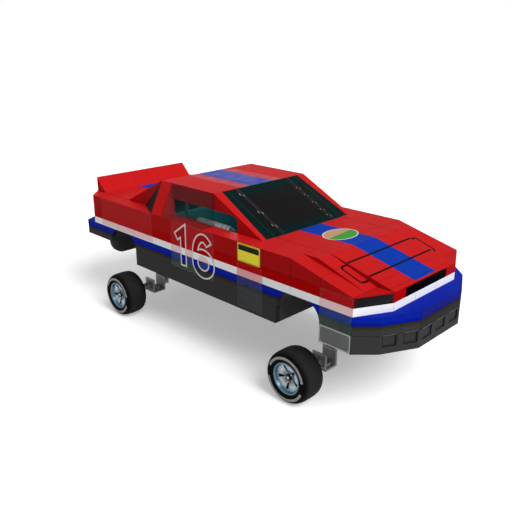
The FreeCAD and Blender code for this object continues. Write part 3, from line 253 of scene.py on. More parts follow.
# %% Lay the floor
FLOOR_HALF = 40
FLOOR_LIFT = 0.30
floor_mesh = bpy.data.meshes.new("studio_floor")
corners = [(x * FLOOR_HALF, y * FLOOR_HALF, 0) for x, y in ((-1, -1), (1, -1), (1, 1), (-1, 1))]
floor_mesh.from_pydata(corners, [], [(0, 1, 2, 3)])
add_object("studio_floor", floor_mesh)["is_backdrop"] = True
matt_paint, tree, shader, place = start_finish("matt_floor_paint", specular=0.0)
shader.inputs["Roughness"].default_value = 0.9
seen = seen_directly(tree)
tree.links.new(over(tree, seen, "#c8c8c8", "#ffffff"), shader.inputs["Base Color"])
shader.inputs["Emission Color"].default_value = linear("#ffffff")
lift = add(tree, "ShaderNodeMapRange", {"Value": seen, "To Max": FLOOR_LIFT})
tree.links.new(lift.outputs[0], shader.inputs["Emission Strength"])
floor_mesh.materials.append(matt_paint)
print("floor is", 2 * FLOOR_HALF, "m wide")

# %% [markdown]
# ## Banded enamel
# The sheet panels are sprayed with enamel and masked in bands: red above a white band, then blue, then a
# dark grey skirt. A blue stripe runs down the middle of the top faces. Painting by place in the car's own
# frame keeps each band straight over every panel, also on the lids when they open, because the place is that
# of the mesh. A painter masks with tape, and here a mask is a number that is 1 where paint goes, made from a
# place.

# %% Make the masks
FAR = 9.0


def band(tree, value, low=-FAR, high=FAR):
    """1 where value lies between low and high, or on one side of the only one given."""
    sockets = {0: value, 1: (low + high) / 2, 2: (high - low) / 2}
    return add(tree, "ShaderNodeMath", sockets, operation="COMPARE").outputs[0]


def both(tree, first, *others):
    """1 where every mask is 1. A plain number among them makes the mask fainter."""
    for mask in others:
        first = add(tree, "ShaderNodeMath", {0: first, 1: mask}, operation="MULTIPLY").outputs[0]
    return first


def without(tree, mask):
    """1 where the mask is 0."""
    return add(tree, "ShaderNodeMath", {0: 1.0, 1: mask}, operation="SUBTRACT").outputs[0]


def grooves(tree, value, start, step, width):
    """1 on thin lines that repeat every step along value."""
    shifted = add(tree, "ShaderNodeMath", {0: value, 1: start}, operation="SUBTRACT").outputs[0]
    folded = add(tree, "ShaderNodeMath", {0: shifted, 1: step / 2}, operation="PINGPONG").outputs[0]
    return band(tree, folded, -width / 2, width / 2)


print("masks reach", FAR, "m")

# %% [markdown]
# The bands lie at fixed heights, so a colour ramp over the height holds them all. Where two stops nearly
# meet, the edge is as sharp as tape leaves it.

# %% Paint the bands
BAND_LOW, BAND_HIGH = 0.760, 1.520
PAINT_BANDS = (
    (0.760, "#3b3b3b"), (1.000, "#3b3b3b"), (1.0485, "#2e2b05"), (1.0520, "#06129a"), (1.095, "#0a24a2"),
    (1.1402, "#0a22a4"), (1.1408, "#ffffff"), (1.2235, "#ffffff"), (1.2245, "#b00202"), (1.3280, "#b40405"),
    (1.3320, "#c41b1c"), (1.520, "#c61c1d"),
)
# A deeper red that paints the shade on the upright sides.
SHADED_SIDE_RED = "#b21415"
UPRIGHT = 0.95


def paint_bands(tree, z, ny):
    """The bands by height, with painted shade: a deeper red on the upright sides than on the faces that look
    up.
    """
    sockets = {"Value": z, "From Min": BAND_LOW, "From Max": BAND_HIGH}
    height = add(tree, "ShaderNodeMapRange", sockets).outputs[0]
    ramp = add(tree, "ShaderNodeValToRGB", {0: height})
    stops = ramp.color_ramp.elements
    for index, (station, colour) in enumerate(PAINT_BANDS):
        share = (station - BAND_LOW) / (BAND_HIGH - BAND_LOW)
        stop = stops[index] if index < 2 else stops.new(share)
        stop.position = share
        stop.color = linear(colour)
    # Painted shade: upright faces above the nose top get the deeper red.
    upright = both(tree, without(tree, band(tree, ny, -UPRIGHT, UPRIGHT)), band(tree, z, low=NOSE_TOP))
    return over(tree, upright, ramp.outputs[0], SHADED_SIDE_RED)


print(len(PAINT_BANDS), "stops in the bands")

# %% [markdown]
# Three markings lie on the top faces: a blue stripe, a black outline with round corners across the nose, and
# a hazy film on the roof, cut in strips. The outline is a line at one distance from a smaller rectangle,
# which is how a round corner comes out of plain arithmetic.

# %% Mark the top faces
OUTLINE_MIDDLE = (1.9475, 0, 0)
OUTLINE_HALF_LENGTH, OUTLINE_HALF_WIDTH = 0.1425, 0.684
OUTLINE_RADIUS, OUTLINE_LINE = 0.050, 0.023
ROOF_FILM_BACK, ROOF_FILM_FRONT, ROOF_FILM_HALF = -0.855, 0.095, 0.350
FILM_CUT = 0.006


def mark_top(tree, place, nz, paint):
    """The paint with the stripe, the outline and the roof's film over it."""
    x, y, z = add(tree, "ShaderNodeSeparateXYZ", {0: place}).outputs
    stripe = both(tree, band(tree, y, -SQUARE / 2, SQUARE / 2), band(tree, z, low=1.335))
    paint = over(tree, stripe, paint, "#0738a8")
    straight = (OUTLINE_HALF_LENGTH - OUTLINE_RADIUS, OUTLINE_HALF_WIDTH - OUTLINE_RADIUS, 0)
    off = place
    for operation, amount in (("MULTIPLY", (1, 1, 0)), ("SUBTRACT", OUTLINE_MIDDLE), ("ABSOLUTE", (0, 0, 0)),
                              ("SUBTRACT", straight), ("MAXIMUM", (0, 0, 0))):
        off = add(tree, "ShaderNodeVectorMath", {0: off, 1: amount}, operation=operation).outputs[0]
    reach = add(tree, "ShaderNodeVectorMath", {0: off}, operation="LENGTH").outputs["Value"]
    ring = band(tree, reach, OUTLINE_RADIUS - OUTLINE_LINE, OUTLINE_RADIUS)
    paint = over(tree, both(tree, ring, band(tree, nz, low=0.8)), paint, "#0a0606")
    film = both(tree, band(tree, z, low=ROOF - 0.0008), band(tree, x, ROOF_FILM_BACK, ROOF_FILM_FRONT),
                band(tree, y, -ROOF_FILM_HALF, ROOF_FILM_HALF))
    drift = cloud(tree, place, 130)
    haze = add(tree, "ShaderNodeMapRange", {"Value": drift, "To Min": -0.08, "To Max": 0.47})
    paint = over(tree, both(tree, film, haze.outputs[0]), paint, "#a29aa8")
    cuts = both(tree, film, grooves(tree, x, ROOF_FILM_FRONT, SQUARE / 2, FILM_CUT), 0.35)
    return over(tree, cuts, paint, "#c9b3b3")


print("outline is", 2 * OUTLINE_HALF_WIDTH, "m wide")

# %% [markdown]
# Inside, the panels have a dark undercoat: on walls that face the car's middle and on undersides. In the
# cabin they have its own blue-green. The seams between panels are thin grooves at the grid's lines.

# %% Paint the inside and find the seams
SEAM = 0.005
SKIRT_TOP = 0.950
LINING_COLOUR = "#2f8b8d"


def paint_inside(tree, place, ny, nz, paint):
    """The paint with undercoat and cabin colour over it where the panels face inwards."""
    x, y, z = add(tree, "ShaderNodeSeparateXYZ", {0: place}).outputs
    inward = add(tree, "ShaderNodeMath", {0: y, 1: ny}, operation="MULTIPLY").outputs[0]
    hidden = either(tree, band(tree, inward, high=-0.3), band(tree, nz, high=-0.5))
    hidden = both(tree, hidden, band(tree, z, high=1.512), band(tree, x, -2.18, 2.18))
    return over(tree, hidden, paint, over(tree, band(tree, x, -0.90, 0.80), "#232424", LINING_COLOUR))


def seam_lines(tree, place, nx, nz):
    """1 on the seams: rows round the car, columns on its sides and ends, and wider columns on the skirt."""
    x, y, z = add(tree, "ShaderNodeSeparateXYZ", {0: place}).outputs
    upper, lower = band(tree, z, low=SKIRT_TOP + 0.002), band(tree, z, high=SKIRT_TOP + 0.002)
    rows = either(tree, *[band(tree, z, row - SEAM / 2, row + SEAM / 2) for row in (NOSE_TOP, SKIRT_TOP)])
    columns = both(tree, grooves(tree, x, grid(0, 0)[0], SQUARE, SEAM), upper)
    skirt = both(tree, grooves(tree, x, grid(0.5, 0)[0], 2 * SQUARE, SEAM), lower)
    end_on = without(tree, band(tree, nx, -0.3, 0.3))
    ends = both(tree, grooves(tree, y, SQUARE / 2, SQUARE, SEAM), upper, end_on)
    return either(tree, both(tree, rows, band(tree, nz, high=0.5)), columns, skirt, ends)


print("seams are", round(SEAM / MM), "mm wide")

# %% [markdown]
# Gloss enamel over primed sheet steel has a deep colour, a thin clear reflection and faint orange peel. With
# age its colour drifts a little. The spoiler is sprayed apart from the body, so the stripe stops short of
# it.

# %% Make the banded enamel
def banded_enamel(name, striped):
    """Gloss enamel in bands, with or without the markings on the top faces."""
    material, tree, shader, place = start_finish(name, specular=0.012)
    x, y, z = add(tree, "ShaderNodeSeparateXYZ", {0: place}).outputs
    facing = tree.nodes["Texture Coordinate"].outputs["Normal"]
    nx, ny, nz = add(tree, "ShaderNodeSeparateXYZ", {0: facing}).outputs
    paint = paint_bands(tree, z, ny)
    if striped:
        paint = mark_top(tree, place, nz, paint)
    # The grille opening between the lamp covers is black from edge to edge.
    ahead = band(tree, x, low=2.340)
    mouth = both(tree, band(tree, y, -SQUARE, SQUARE), band(tree, z, 1.2242, 1.3222), ahead)
    paint = over(tree, mouth, paint, "#050505")
    paint = paint_inside(tree, place, ny, nz, paint)
    lines = seam_lines(tree, place, nx, nz)
    paint = over(tree, both(tree, lines, 0.45), paint, "#120505")
    faded = add(tree, "ShaderNodeHueSaturation", {"Value": 0.94, "Color": paint}).outputs[0]
    tree.links.new(over(tree, cloud(tree, place, 420), paint, faded), shader.inputs["Base Color"])
    uneven_gloss(tree, shader, cloud(tree, place, 90), 0.40, 0.52)
    relief(tree, shader, cloud(tree, place, 6, 2), 0.02)
    relief(tree, shader, without(tree, lines), 0.8)
    return material


def dress(material, *names):
    """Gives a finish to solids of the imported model, with soft shading inside each of their faces."""
    for name in names:
        mesh = nodes[name].data
        mesh.materials.clear()
        mesh.materials.append(material)
        mesh.polygons.foreach_set("use_smooth", [True] * len(mesh.polygons))


enamel = banded_enamel("banded_gloss_enamel", True)
plain_enamel = banded_enamel("banded_gloss_enamel_without_stripe", False)
for hand, side in SIDES:
    dress(enamel, "door_panel_" + hand, "rear_quarter_" + hand, "front_fender_" + hand)
dress(enamel, "nose_panel", "front_bumper", "rear_bumper", "tail_panel", "roof", "a_pillars", "c_pillars",
      "fastback", "bonnet", "boot_lid", "sills")
dress(plain_enamel, "spoiler")
print("enamel on", sum(1 for n in nodes.values() if n.data.materials[0] in (enamel, plain_enamel)), "panels")

# %% [markdown]
# ## Undercoat and cabin lining
# The floor, the wheel arches and the two bulkheads are brushed with thick stone-chip undercoat, which dries
# matt and pebbly. Inside the cabin the same sheets have a dark blue-green paint.

# %% Make the undercoat
LINING_BOX = ((-0.900, 0.848), (-0.892, 0.892), (0.790, 1.530))
undercoat, tree, shader, place = start_finish("brushed_stone_chip_undercoat", specular=0.2)
axes = add(tree, "ShaderNodeSeparateXYZ", {0: place}).outputs
lining = both(tree, *[band(tree, axis, *limits) for axis, limits in zip(axes, LINING_BOX)])
tar = over(tree, cloud(tree, place, 160), "#333333", "#3d3d3c")
tree.links.new(over(tree, lining, tar, LINING_COLOUR), shader.inputs["Base Color"])
pebbles = cloud(tree, place, 7)
uneven_gloss(tree, shader, pebbles, 0.62, 0.8)
relief(tree, shader, pebbles, 0.5)
dress(undercoat, "floor_pan", "wheelhouse_front", "wheelhouse_rear", "firewall", "rear_bulkhead")
print("undercoat on 5 panels")

# %% [markdown]
# ## Glazing
# Racing glazing is polycarbonate sheet. The screens are smoked almost black, with a band of darker film
# round the edge, and the side panes are a clear sheet with a blue-green tint. Tint is easiest as a
# part-transparent colour: light still gets into the cabin, which true refraction would stop without costly
# caustics.

# %% Make the glazing
BORDER_BLUR = 0.02


def smoked_sheet(name, centre, border, middle_x, half_size):
    """Smoked polycarbonate sheet: hard, smooth and nearly black, with fine wiping scratches."""
    material, tree, shader, place = start_finish(name, specular=0.012, alpha=0.96)
    off = add(tree, "ShaderNodeVectorMath", {0: place, 1: (middle_x, 0, 0)}, operation="SUBTRACT").outputs[0]
    off = add(tree, "ShaderNodeVectorMath", {0: off}, operation="ABSOLUTE").outputs[0]
    inside = []
    for axis, half in zip(add(tree, "ShaderNodeSeparateXYZ", {0: off}).outputs, half_size):
        sockets = {"Value": axis, "From Min": half + BORDER_BLUR, "From Max": half - BORDER_BLUR}
        inside.append(add(tree, "ShaderNodeMapRange", sockets).outputs[0])
    tree.links.new(over(tree, both(tree, *inside), border, centre), shader.inputs["Base Color"])
    stretch = add(tree, "ShaderNodeMapping", {"Vector": place, "Scale": (1, 12, 1)}).outputs[0]
    wiped = cloud(tree, stretch, 30)
    uneven_gloss(tree, shader, wiped, 0.30, 0.42)
    relief(tree, shader, wiped, 0.01)
    return material


dress(smoked_sheet("smoked_polycarbonate_screen", "#131313", "#021c1c", 0.50, (0.265, 0.535)), "windscreen")
rear_sheet = smoked_sheet("smoked_polycarbonate_rear_screen", "#1c1c1c", "#021717", -1.23, (0.27, 0.60))
dress(rear_sheet, "rear_window", "quarter_glass")

side_pane, tree, shader, place = start_finish("tinted_polycarbonate_pane", specular=0.05, alpha=0.22)
smears = cloud(tree, place, 120)
tree.links.new(over(tree, smears, "#0a2c2e", "#123638"), shader.inputs["Base Color"])
uneven_gloss(tree, shader, smears, 0.18, 0.3)
relief(tree, shader, cloud(tree, place, 25), 0.02)
dress(side_pane, "side_glass")
print("glazing done")

# %% [markdown]
# ## Bare and painted metal
# The suspension plates are hot-rolled steel, cut, welded and bead-blasted: mid grey, dull, with a fine even
# grain. The knuckles are the same. The roll cage is drawn steel tube under grey enamel.

# %% Make the metals
blasted_steel = simple_finish("bead_blasted_steel_plate", "#868685", "#989896", 140, 2.5, 0.05,
                              (0.5, 0.66), metallic=0.25, specular=0.3)
edge_steel = simple_finish("ground_steel_flat_bar", "#bcbcba", "#cbcbc9", 90, 3, 0.04, (0.42, 0.6),
                           metallic=0.3, specular=0.3)
cage_enamel = simple_finish("sprayed_grey_cage_enamel", "#3f4a4c", "#4b5658", 200, 5, 0.03, (0.35, 0.5),
                            specular=0.4)
cast_iron = simple_finish("sand_cast_iron", "#4b4a48", "#5a5856", 120, 3, 0.35, (0.55, 0.75), metallic=0.4)
dash_plastic = simple_finish("moulded_abs_dash", "#1d4a4c", "#245557", 150, 2.2, 0.12, (0.5, 0.62),
                             specular=0.3)
zinc_steel = simple_finish("zinc_plated_steel", "#a9a9a4", "#c2c2bd", 40, 4, 0.01, (0.3, 0.45),
                           metallic=0.8)
black_rubber = simple_finish("moulded_black_rubber", "#060606", "#0b0b0b", 80, 3, 0.05, (0.6, 0.75),
                             specular=0.2)
dress(blasted_steel, "brackets_front", "brackets_rear", "knuckle_R", "knuckle_L", "steering_column")
dress(cast_iron, "engine_block")
dress(dash_plastic, "dashboard")
print("metals done")

# %% [markdown]
# ## Linking a piece
# A piece is often several small meshes with finishes of their own. They are joined, so that one object can
# be parented to its body and named once.

# %% Join and link meshes
def painted(mesh, material):
    """The mesh, with this finish."""
    mesh.materials.append(material)
    return mesh


def from_bmesh(builder):
    """A plain mesh of what was built."""
    mesh = bpy.data.meshes.new("form")
    builder.to_mesh(mesh)
    builder.free()
    return mesh


def join_meshes(meshes):
    """One mesh from several, each keeping its own finish."""
    builder = bmesh.new()
    materials = []
    for mesh in meshes:
        start = len(builder.faces)
        builder.from_mesh(mesh)
        builder.faces.ensure_lookup_table()
        materials += [material for material in mesh.materials if material not in materials]
        for face in builder.faces[start:]:
            face.material_index = materials.index(mesh.materials[face.material_index])
        bpy.data.meshes.remove(mesh)
    joined = from_bmesh(builder)
    for material in materials:
        joined.materials.append(material)
    return joined


def link_piece(name, meshes, material, body="root", smooth_under=30, location=(0, 0, 0)):
    """Links meshes as one piece. A mesh with no finish gets this one. Shading is soft up to an angle."""
    for mesh in meshes:
        if not mesh.materials:
            mesh.materials.append(material)
    mesh = join_meshes(meshes)
    mesh.name = name
    piece = add_object(name, mesh, location)
    mesh.polygons.foreach_set("use_smooth", [True] * len(mesh.polygons))
    mesh.set_sharp_from_angle(angle=math.radians(smooth_under))
    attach(piece, body)
    return piece


print("pieces can be linked")

# %% [markdown]
# ## Mesh helpers
# Three ways of making a form cover most pieces. A lathe turns a profile round an axis, as a wheel is made. A
# plate is an outline with a thickness, as sheet is cut. A tube follows a run of points, as pipe is bent. All
# of them lay rows of points and fill the faces between one row and the next.

# %% Turn and cut forms
def fill(builder, rows, round_rows=True, round_points=True):
    """Faces between each row of vertices and the next. Rows, and the points in a row, can run round."""
    count = len(rows[0])
    following = rows[1:] + rows[:1] if round_rows else rows[1:]
    for here, there in zip(rows, following):
        for index in range(count if round_points else count - 1):
            after = (index + 1) % count
            builder.faces.new((here[index], here[after], there[after], there[index]))


def finished(builder, matrix=Matrix.Identity(4)):
    """The form stood at a matrix, with its faces turned outwards."""
    builder.transform(matrix)
    bmesh.ops.recalc_face_normals(builder, faces=builder.faces)
    return from_bmesh(builder)


def lathe(profile, segments, closed=True):
    """Turns a profile of (y, radius) points round the Y axis."""
    builder = bmesh.new()
    rings = []
    for step in range(segments):
        turn = 2 * math.pi * step / segments
        rings.append([builder.verts.new((r * math.cos(turn), y, r * math.sin(turn))) for y, r in profile])
    fill(builder, rings, round_points=closed)
    return finished(builder)


def flat_rows(builder, *rows):
    """Vertices for outlines that each lie at a level."""
    return [[builder.verts.new((u, v, level)) for u, v in outline] for outline, level in rows]


def plate(outline, thickness, matrix, bevel=0.0):
    """A flat piece cut to an outline, standing out from its plane by its thickness."""
    builder = bmesh.new()
    low, high = flat_rows(builder, (outline, 0), (outline, thickness))
    builder.faces.new(high)
    builder.faces.new(reversed(low))
    fill(builder, [low, high], round_rows=False)
    if bevel:
        rim = [edge for edge in builder.edges if all(v.co.z > thickness / 2 for v in edge.verts)]
        bmesh.ops.bevel(builder, geom=rim, offset=bevel, segments=2, affect="EDGES", profile=0.6)
    return finished(builder, matrix)


def frame_strip(outer, inner, thickness, matrix, closed=True):
    """A flat strip between two edges with the same number of points: a ring, or a ribbon with two ends."""
    builder = bmesh.new()
    rows = flat_rows(builder, (outer, 0), (outer, thickness), (inner, thickness), (inner, 0))
    fill(builder, rows, round_points=closed)
    if not closed:
        builder.faces.new([row[0] for row in rows])
        builder.faces.new([row[-1] for row in reversed(rows)])
    return finished(builder, matrix)


print("forms can be turned and cut")

# %% [markdown]
# An outline is drawn flat and then stood in place by a matrix, whose third axis is the way the plate faces.

# %% Draw and stand outlines
def rounded_box(width, height, radius, steps=5):
    """The outline of a rectangle with round corners, centred on zero."""
    points = []
    for corner, (cx, cy) in enumerate(((1, 1), (-1, 1), (-1, -1), (1, -1))):
        for step in range(steps + 1):
            turn = math.pi / 2 * (corner + step / steps)
            points.append((cx * (width / 2 - radius) + radius * math.cos(turn),
                           cy * (height / 2 - radius) + radius * math.sin(turn)))
    return points


def smooth_run(points, steps):
    """More points on a soft curve through the given ones (a Catmull-Rom curve)."""
    spots = [Vector(point) for point in points]
    held = [spots[0], *spots, spots[-1]]
    result = []
    for a, b, c, d in zip(held, held[1:], held[2:], held[3:]):
        for step in range(steps):
            t = step / steps
            result.append(0.5 * (2 * b + (c - a) * t + (2 * a - 5 * b + 4 * c - d) * t ** 2
                                 + (3 * b - a - 3 * c + d) * t ** 3))
    return [tuple(point) for point in [*result, spots[-1]]]


def axes_at(origin, across, up):
    """A matrix that stands a flat outline at origin, with its first axis across and its second up."""
    u = Vector(across).normalized()
    n = u.cross(Vector(up)).normalized()
    matrix = Matrix((u, n.cross(u), n)).transposed().to_4x4()
    matrix.translation = Vector(origin)
    return matrix


def moved(matrix, height, u=0, v=0):
    """The same axes, moved along themselves."""
    return matrix @ Matrix.Translation((u, v, height))


print("a box outline has", len(rounded_box(1, 1, 0.1)), "points")

# %% [markdown]
# A tube is a round section carried along a run of points. The section must not twist on the way, so each one
# is found from the last, and it leans halfway where the run turns, as a mitre does.

# %% Draw tubes
def tube_mesh(points, radius, sides=24):
    """A round tube along a run of points, mitred where it turns."""
    builder = bmesh.new()
    spots = [Vector(point) for point in points]
    rings = []
    tangent = (spots[1] - spots[0]).normalized()
    normal = tangent.orthogonal().normalized()
    for index, spot in enumerate(spots):
        before = (spot - spots[index - 1]).normalized() if index else tangent
        after = (spots[index + 1] - spot).normalized() if index + 1 < len(spots) else before
        normal = (normal - before * normal.dot(before)).normalized()
        side = before.cross(normal)
        mitre = (before + after).normalized()
        ring = []
        for step in range(sides):
            turn = 2 * math.pi * step / sides
            point = normal * math.cos(turn) * radius + side * math.sin(turn) * radius
            point -= before * (point.dot(mitre) / mitre.dot(before))
            ring.append(builder.verts.new(spot + point))
        rings.append(ring)
        normal = (normal - after * normal.dot(after)).normalized()
    fill(builder, rings, round_rows=False)
    builder.faces.new(reversed(rings[0]))
    builder.faces.new(rings[-1])
    return finished(builder)


print("tubes can be drawn")

# %% [markdown]
# Bolts, nuts, washers and rivets are all small turned heads, so one function makes them.

# %% Turn bolts
def stand(mesh, spot, axis):
    """Moves a turned mesh from the Y axis to a spot and an axis."""
    turn = Vector(LEFT).rotation_difference(Vector(axis)).to_matrix().to_4x4()
    mesh.transform(Matrix.Translation(spot) @ turn)
    return mesh


def bolt(spot, radius, height, sides, material, axis=(0, -1, 0), dome=0.3):
    """A bolt head, nut or washer that stands on its spot, with its top edge turned down."""
    profile = ((0, 0.02), (0, 1), (1 - dome, 1), (1, 1 - dome * 0.6), (1, 0.02))
    head = lathe([(y * height, r * radius) for y, r in profile], sides, closed=False)
    return painted(stand(head, spot, axis), material)


def corner_bolts(matrix, half_width, half_height, radius, height, material, lift=0.0012):
    """A bolt near each corner of a plate."""
    facing = matrix.to_3x3().col[2]
    spots = [Vector((u * half_width, v * half_height, lift)) for u in (-1, 1) for v in (-1, 1)]
    return [bolt(matrix @ spot, radius, height, 16, material, facing) for spot in spots]


print("bolts can be turned")

# %% [markdown]
# ## Slick tyres
# A racing slick is one moulded band of soft rubber with no tread, crowned across and full at the shoulders.
# Turning its section on a lathe gives that form exactly. The two pale bands on the street side are paint
# rolled on a ridge one millimetre proud, so those faces are lifted and get their own finish.

# %% Make the tyre finishes
slick_rubber, tree, shader, place = start_finish("moulded_slick_rubber", specular=0.03)
scuffs = cloud(tree, place, 60)
tread = over(tree, scuffs, "#222222", "#2c2c2b")
across = add(tree, "ShaderNodeSeparateXYZ", {0: place}).outputs[1]
across = add(tree, "ShaderNodeMath", {0: across}, operation="ABSOLUTE").outputs[0]
sockets = {"Value": across, "From Min": 0.085, "From Max": 0.135}
sidewall = add(tree, "ShaderNodeMapRange", sockets).outputs[0]
tree.links.new(over(tree, sidewall, tread, "#0a0a0a"), shader.inputs["Base Color"])
uneven_gloss(tree, shader, scuffs, 0.62, 0.78)
relief(tree, shader, cloud(tree, place, 4), 0.12)
sidewall_paint = simple_finish("rolled_on_sidewall_paint", "#969694", "#a3a3a0", 50, 4, 0.05, (0.6, 0.75),
                               specular=0.15)
print("tyre finishes done")

# %% [markdown]
# The section is drawn for one half, from the crown to the bead, and mirrored. The liner closes it on the
# inside.

# %% Make the tyres
TYRE_HALF_SECTION = (
    (0.000, 0.2850), (0.040, 0.2846), (0.075, 0.2825), (0.103, 0.2775), (0.124, 0.2685), (0.139, 0.2560),
    (0.148, 0.2410), (0.1515, 0.2270), (0.1515, 0.2130), (0.1485, 0.1990), (0.143, 0.1870), (0.136, 0.1760),
    (0.1305, 0.1680), (0.1285, 0.1655),
)
TYRE_LINER = ((0.118, 0.1655), (0.112, 0.185), (0.128, 0.215), (0.120, 0.245), (0.090, 0.262), (0.0, 0.268))
BAND_INNER, BAND_OUTER, BAND_LIFT = 0.2145, 0.2415, 0.0008
BAND_GAP_MIDDLE, BAND_GAP_HALF = -6, 17
TYRE_FACE = -0.1519
WHEELS = [(end + hand, ahead * AXLE_X, side) for end, ahead in (("F", 1), ("R", -1)) for hand, side in SIDES]


def tyre_section():
    """The whole section as (y, radius) points, from bead to bead and back along the inner liner."""
    outside, inside = smooth_run(TYRE_HALF_SECTION, 4), smooth_run(TYRE_LINER, 3)
    full = [(-y, r) for y, r in reversed(outside)] + outside[1:]
    return full + inside + [(-y, r) for y, r in reversed(inside)][1:]


def tyre_mesh():
    """A tyre about the Y axis, with its painted bands on the side at -Y."""
    mesh = painted(painted(lathe(tyre_section(), 144), slick_rubber), sidewall_paint)
    lifted = set()
    for face in mesh.polygons:
        x, y, z = face.center
        from_gap = abs((math.degrees(math.atan2(z, x)) - BAND_GAP_MIDDLE + 90) % 180 - 90)
        if y < -0.12 and BAND_INNER < math.hypot(x, z) < BAND_OUTER and from_gap > BAND_GAP_HALF:
            face.material_index = 1
            lifted.update(face.vertices)
    for index in lifted:
        vertex = mesh.vertices[index]
        vertex.co.y = max(vertex.co.y - BAND_LIFT, TYRE_FACE)
    return mesh


def hang(wheel, name, meshes, material, replaced, smooth_under):
    """Hangs a piece of a wheel on its axle in place of a solid, turned round on the car's left."""
    corner, x, side = wheel
    for mesh in meshes:
        if side > 0:
            mesh.transform(Matrix.Rotation(math.pi, 4, "Z"))
    axle = (x, side * HALF_TRACK, AXLE_Z)
    piece = link_piece(name + corner, meshes, material, "wheel_" + corner, smooth_under, axle)
    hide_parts(replaced + corner)
    return piece


for wheel in WHEELS:
    tyre = hang(wheel, "slick_tyre_", [tyre_mesh()], slick_rubber, "tyre_", 40)
print("tyre faces:", len(tyre.data.polygons))

# %% [markdown]
# ## Cast and machined rims
# The rim is cast aluminium: a machined, lacquered lip with a blue-grey cast, and a dished disc with five
# broad blades between narrow slots. Metal machined on a lathe has fine rings round the axle, so the noise is
# laid along the radius. The colour darkens towards the hub and lightens out towards the lip.

# %% Make the rim finishes
def turned_metal(name, first, second, gloss):
    """Metal with fine rings round the axle, whose colour darkens towards it."""
    material, tree, shader, place = start_finish(name, metallic=0.75)
    x, y, z = add(tree, "ShaderNodeSeparateXYZ", {0: place}).outputs
    flat = add(tree, "ShaderNodeCombineXYZ", {0: x, 2: z}).outputs[0]
    radius = add(tree, "ShaderNodeVectorMath", {0: flat}, operation="LENGTH").outputs["Value"]
    rings = cloud(tree, add(tree, "ShaderNodeCombineXYZ", {0: radius, 1: y}).outputs[0], 1.5, 2)
    tone = over(tree, cloud(tree, place, 45), first, second)
    # The colour darkens towards the hub and lightens out towards the lip.
    sockets = {"Value": radius, "From Min": 0.035, "From Max": 0.105}
    away_from_hub = add(tree, "ShaderNodeMapRange", sockets).outputs[0]
    tree.links.new(over(tree, away_from_hub, "#262c30", tone), shader.inputs["Base Color"])
    uneven_gloss(tree, shader, rings, *gloss)
    relief(tree, shader, rings, 0.012)
    return material


lip_metal = turned_metal("lacquered_machined_aluminium_lip", "#4a6878", "#5b7b8b", (0.26, 0.38))
blade_metal = turned_metal("sand_cast_aluminium_blade", "#8c9ca6", "#b4c0c7", (0.22, 0.36))
# Dark brake dust, which also paints the shade on the barrel behind the disc.
dust_and_shade = simple_finish("brake_dust_and_painted_shade_on_aluminium", "#141618", "#202325", 60, 3, 0.05, (0.6, 0.75),
                           metallic=0.3, specular=0.2)
black_oxide = simple_finish("black_oxide_steel", "#050505", "#0c0c0d", 30, 1.5, 0.02, (0.35, 0.5),
                            metallic=0.3, specular=0.3)
print("rim finishes done")

# %% [markdown]
# The barrel's section goes round the wheel once: along the outside under the tyre, round both flanges, and
# back along the inside. Inside, behind the disc, those faces get a second, dark finish: brake dust, and
# painted shade where the disc shades the barrel.

# %% Turn the barrel
RIM_SECTION = (
    (-0.1383, 0.1625), (-0.1383, 0.1715), (-0.1372, 0.1740), (-0.1345, 0.1749), (-0.1312, 0.1740),
    (-0.1298, 0.1712), (-0.1294, 0.1658), (-0.1275, 0.1648), (0.1275, 0.1648), (0.1294, 0.1658),
    (0.1298, 0.1712), (0.1312, 0.1740), (0.1345, 0.1749), (0.1372, 0.1740), (0.1383, 0.1715),
    (0.1383, 0.1625), (0.1360, 0.1565), (0.1250, 0.1540), (-0.0600, 0.1535), (-0.0940, 0.1510),
    (-0.1010, 0.1478), (-0.1065, 0.1460), (-0.1110, 0.1466), (-0.1200, 0.1510), (-0.1300, 0.1560),
    (-0.1355, 0.1590), (-0.1377, 0.1606),
)
DISC_BACK, DISC_EDGE = -0.104, 0.164
BOLT_RING = ((-0.0960, 0.1475), (-0.1062, 0.1475), (-0.1076, 0.1462), (-0.1078, 0.1360), (-0.1066, 0.1345),
             (-0.0960, 0.1345))
HUB_SECTION = ((-0.0860, 0.0005), (-0.0862, 0.0400), (-0.0872, 0.0420), (-0.0890, 0.0440), (-0.0893, 0.0560),
               (-0.0880, 0.0592), (-0.0845, 0.0605), (-0.0700, 0.0605), (0.0595, 0.0590), (0.0595, 0.0460),
               (-0.0780, 0.0460), (-0.0780, 0.0005))


def turned_parts():
    """The barrel, the ring that takes the bolts, and the hub."""
    barrel = painted(painted(lathe(RIM_SECTION, 128), lip_metal), dust_and_shade)
    # The faces behind the disc get the dark finish: brake dust and painted shade.
    for face in barrel.polygons:
        x, y, z = face.center
        face.material_index = int(y > DISC_BACK and math.hypot(x, z) < DISC_EDGE)
    return [barrel, painted(lathe(BOLT_RING, 96), blade_metal), painted(lathe(HUB_SECTION, 64), blade_metal)]


print(len(RIM_SECTION), "points round the barrel")

# %% [markdown]
# Each blade is a small curved sheet between two slots, whose edges turn in a little. It is drawn as a net of
# points and then given its thickness, so that it catches light across its crown as a cast blade does.

# %% Shape the blades
BLADES = 5
SLOT_START, SLOT_ROOT, SLOT_TIP = 47, 0.064, 0.135
SLOT_ROOT_WIDTH, SLOT_TIP_WIDTH = 0.013, 0.036
BLADE_IN, BLADE_OUT, BLADE_THICKNESS = 0.0575, 0.1365, 0.009
BLADE_ROWS, BLADE_COLUMNS = 14, 18
BLADE_CROWN, BLADE_TURN_IN, BLADE_FLAT = 0.0100, 0.0045, 0.80
DISC_ROOT_Y, DISC_ROOT, DISC_SLOPE = -0.0853, 0.060, 0.2353


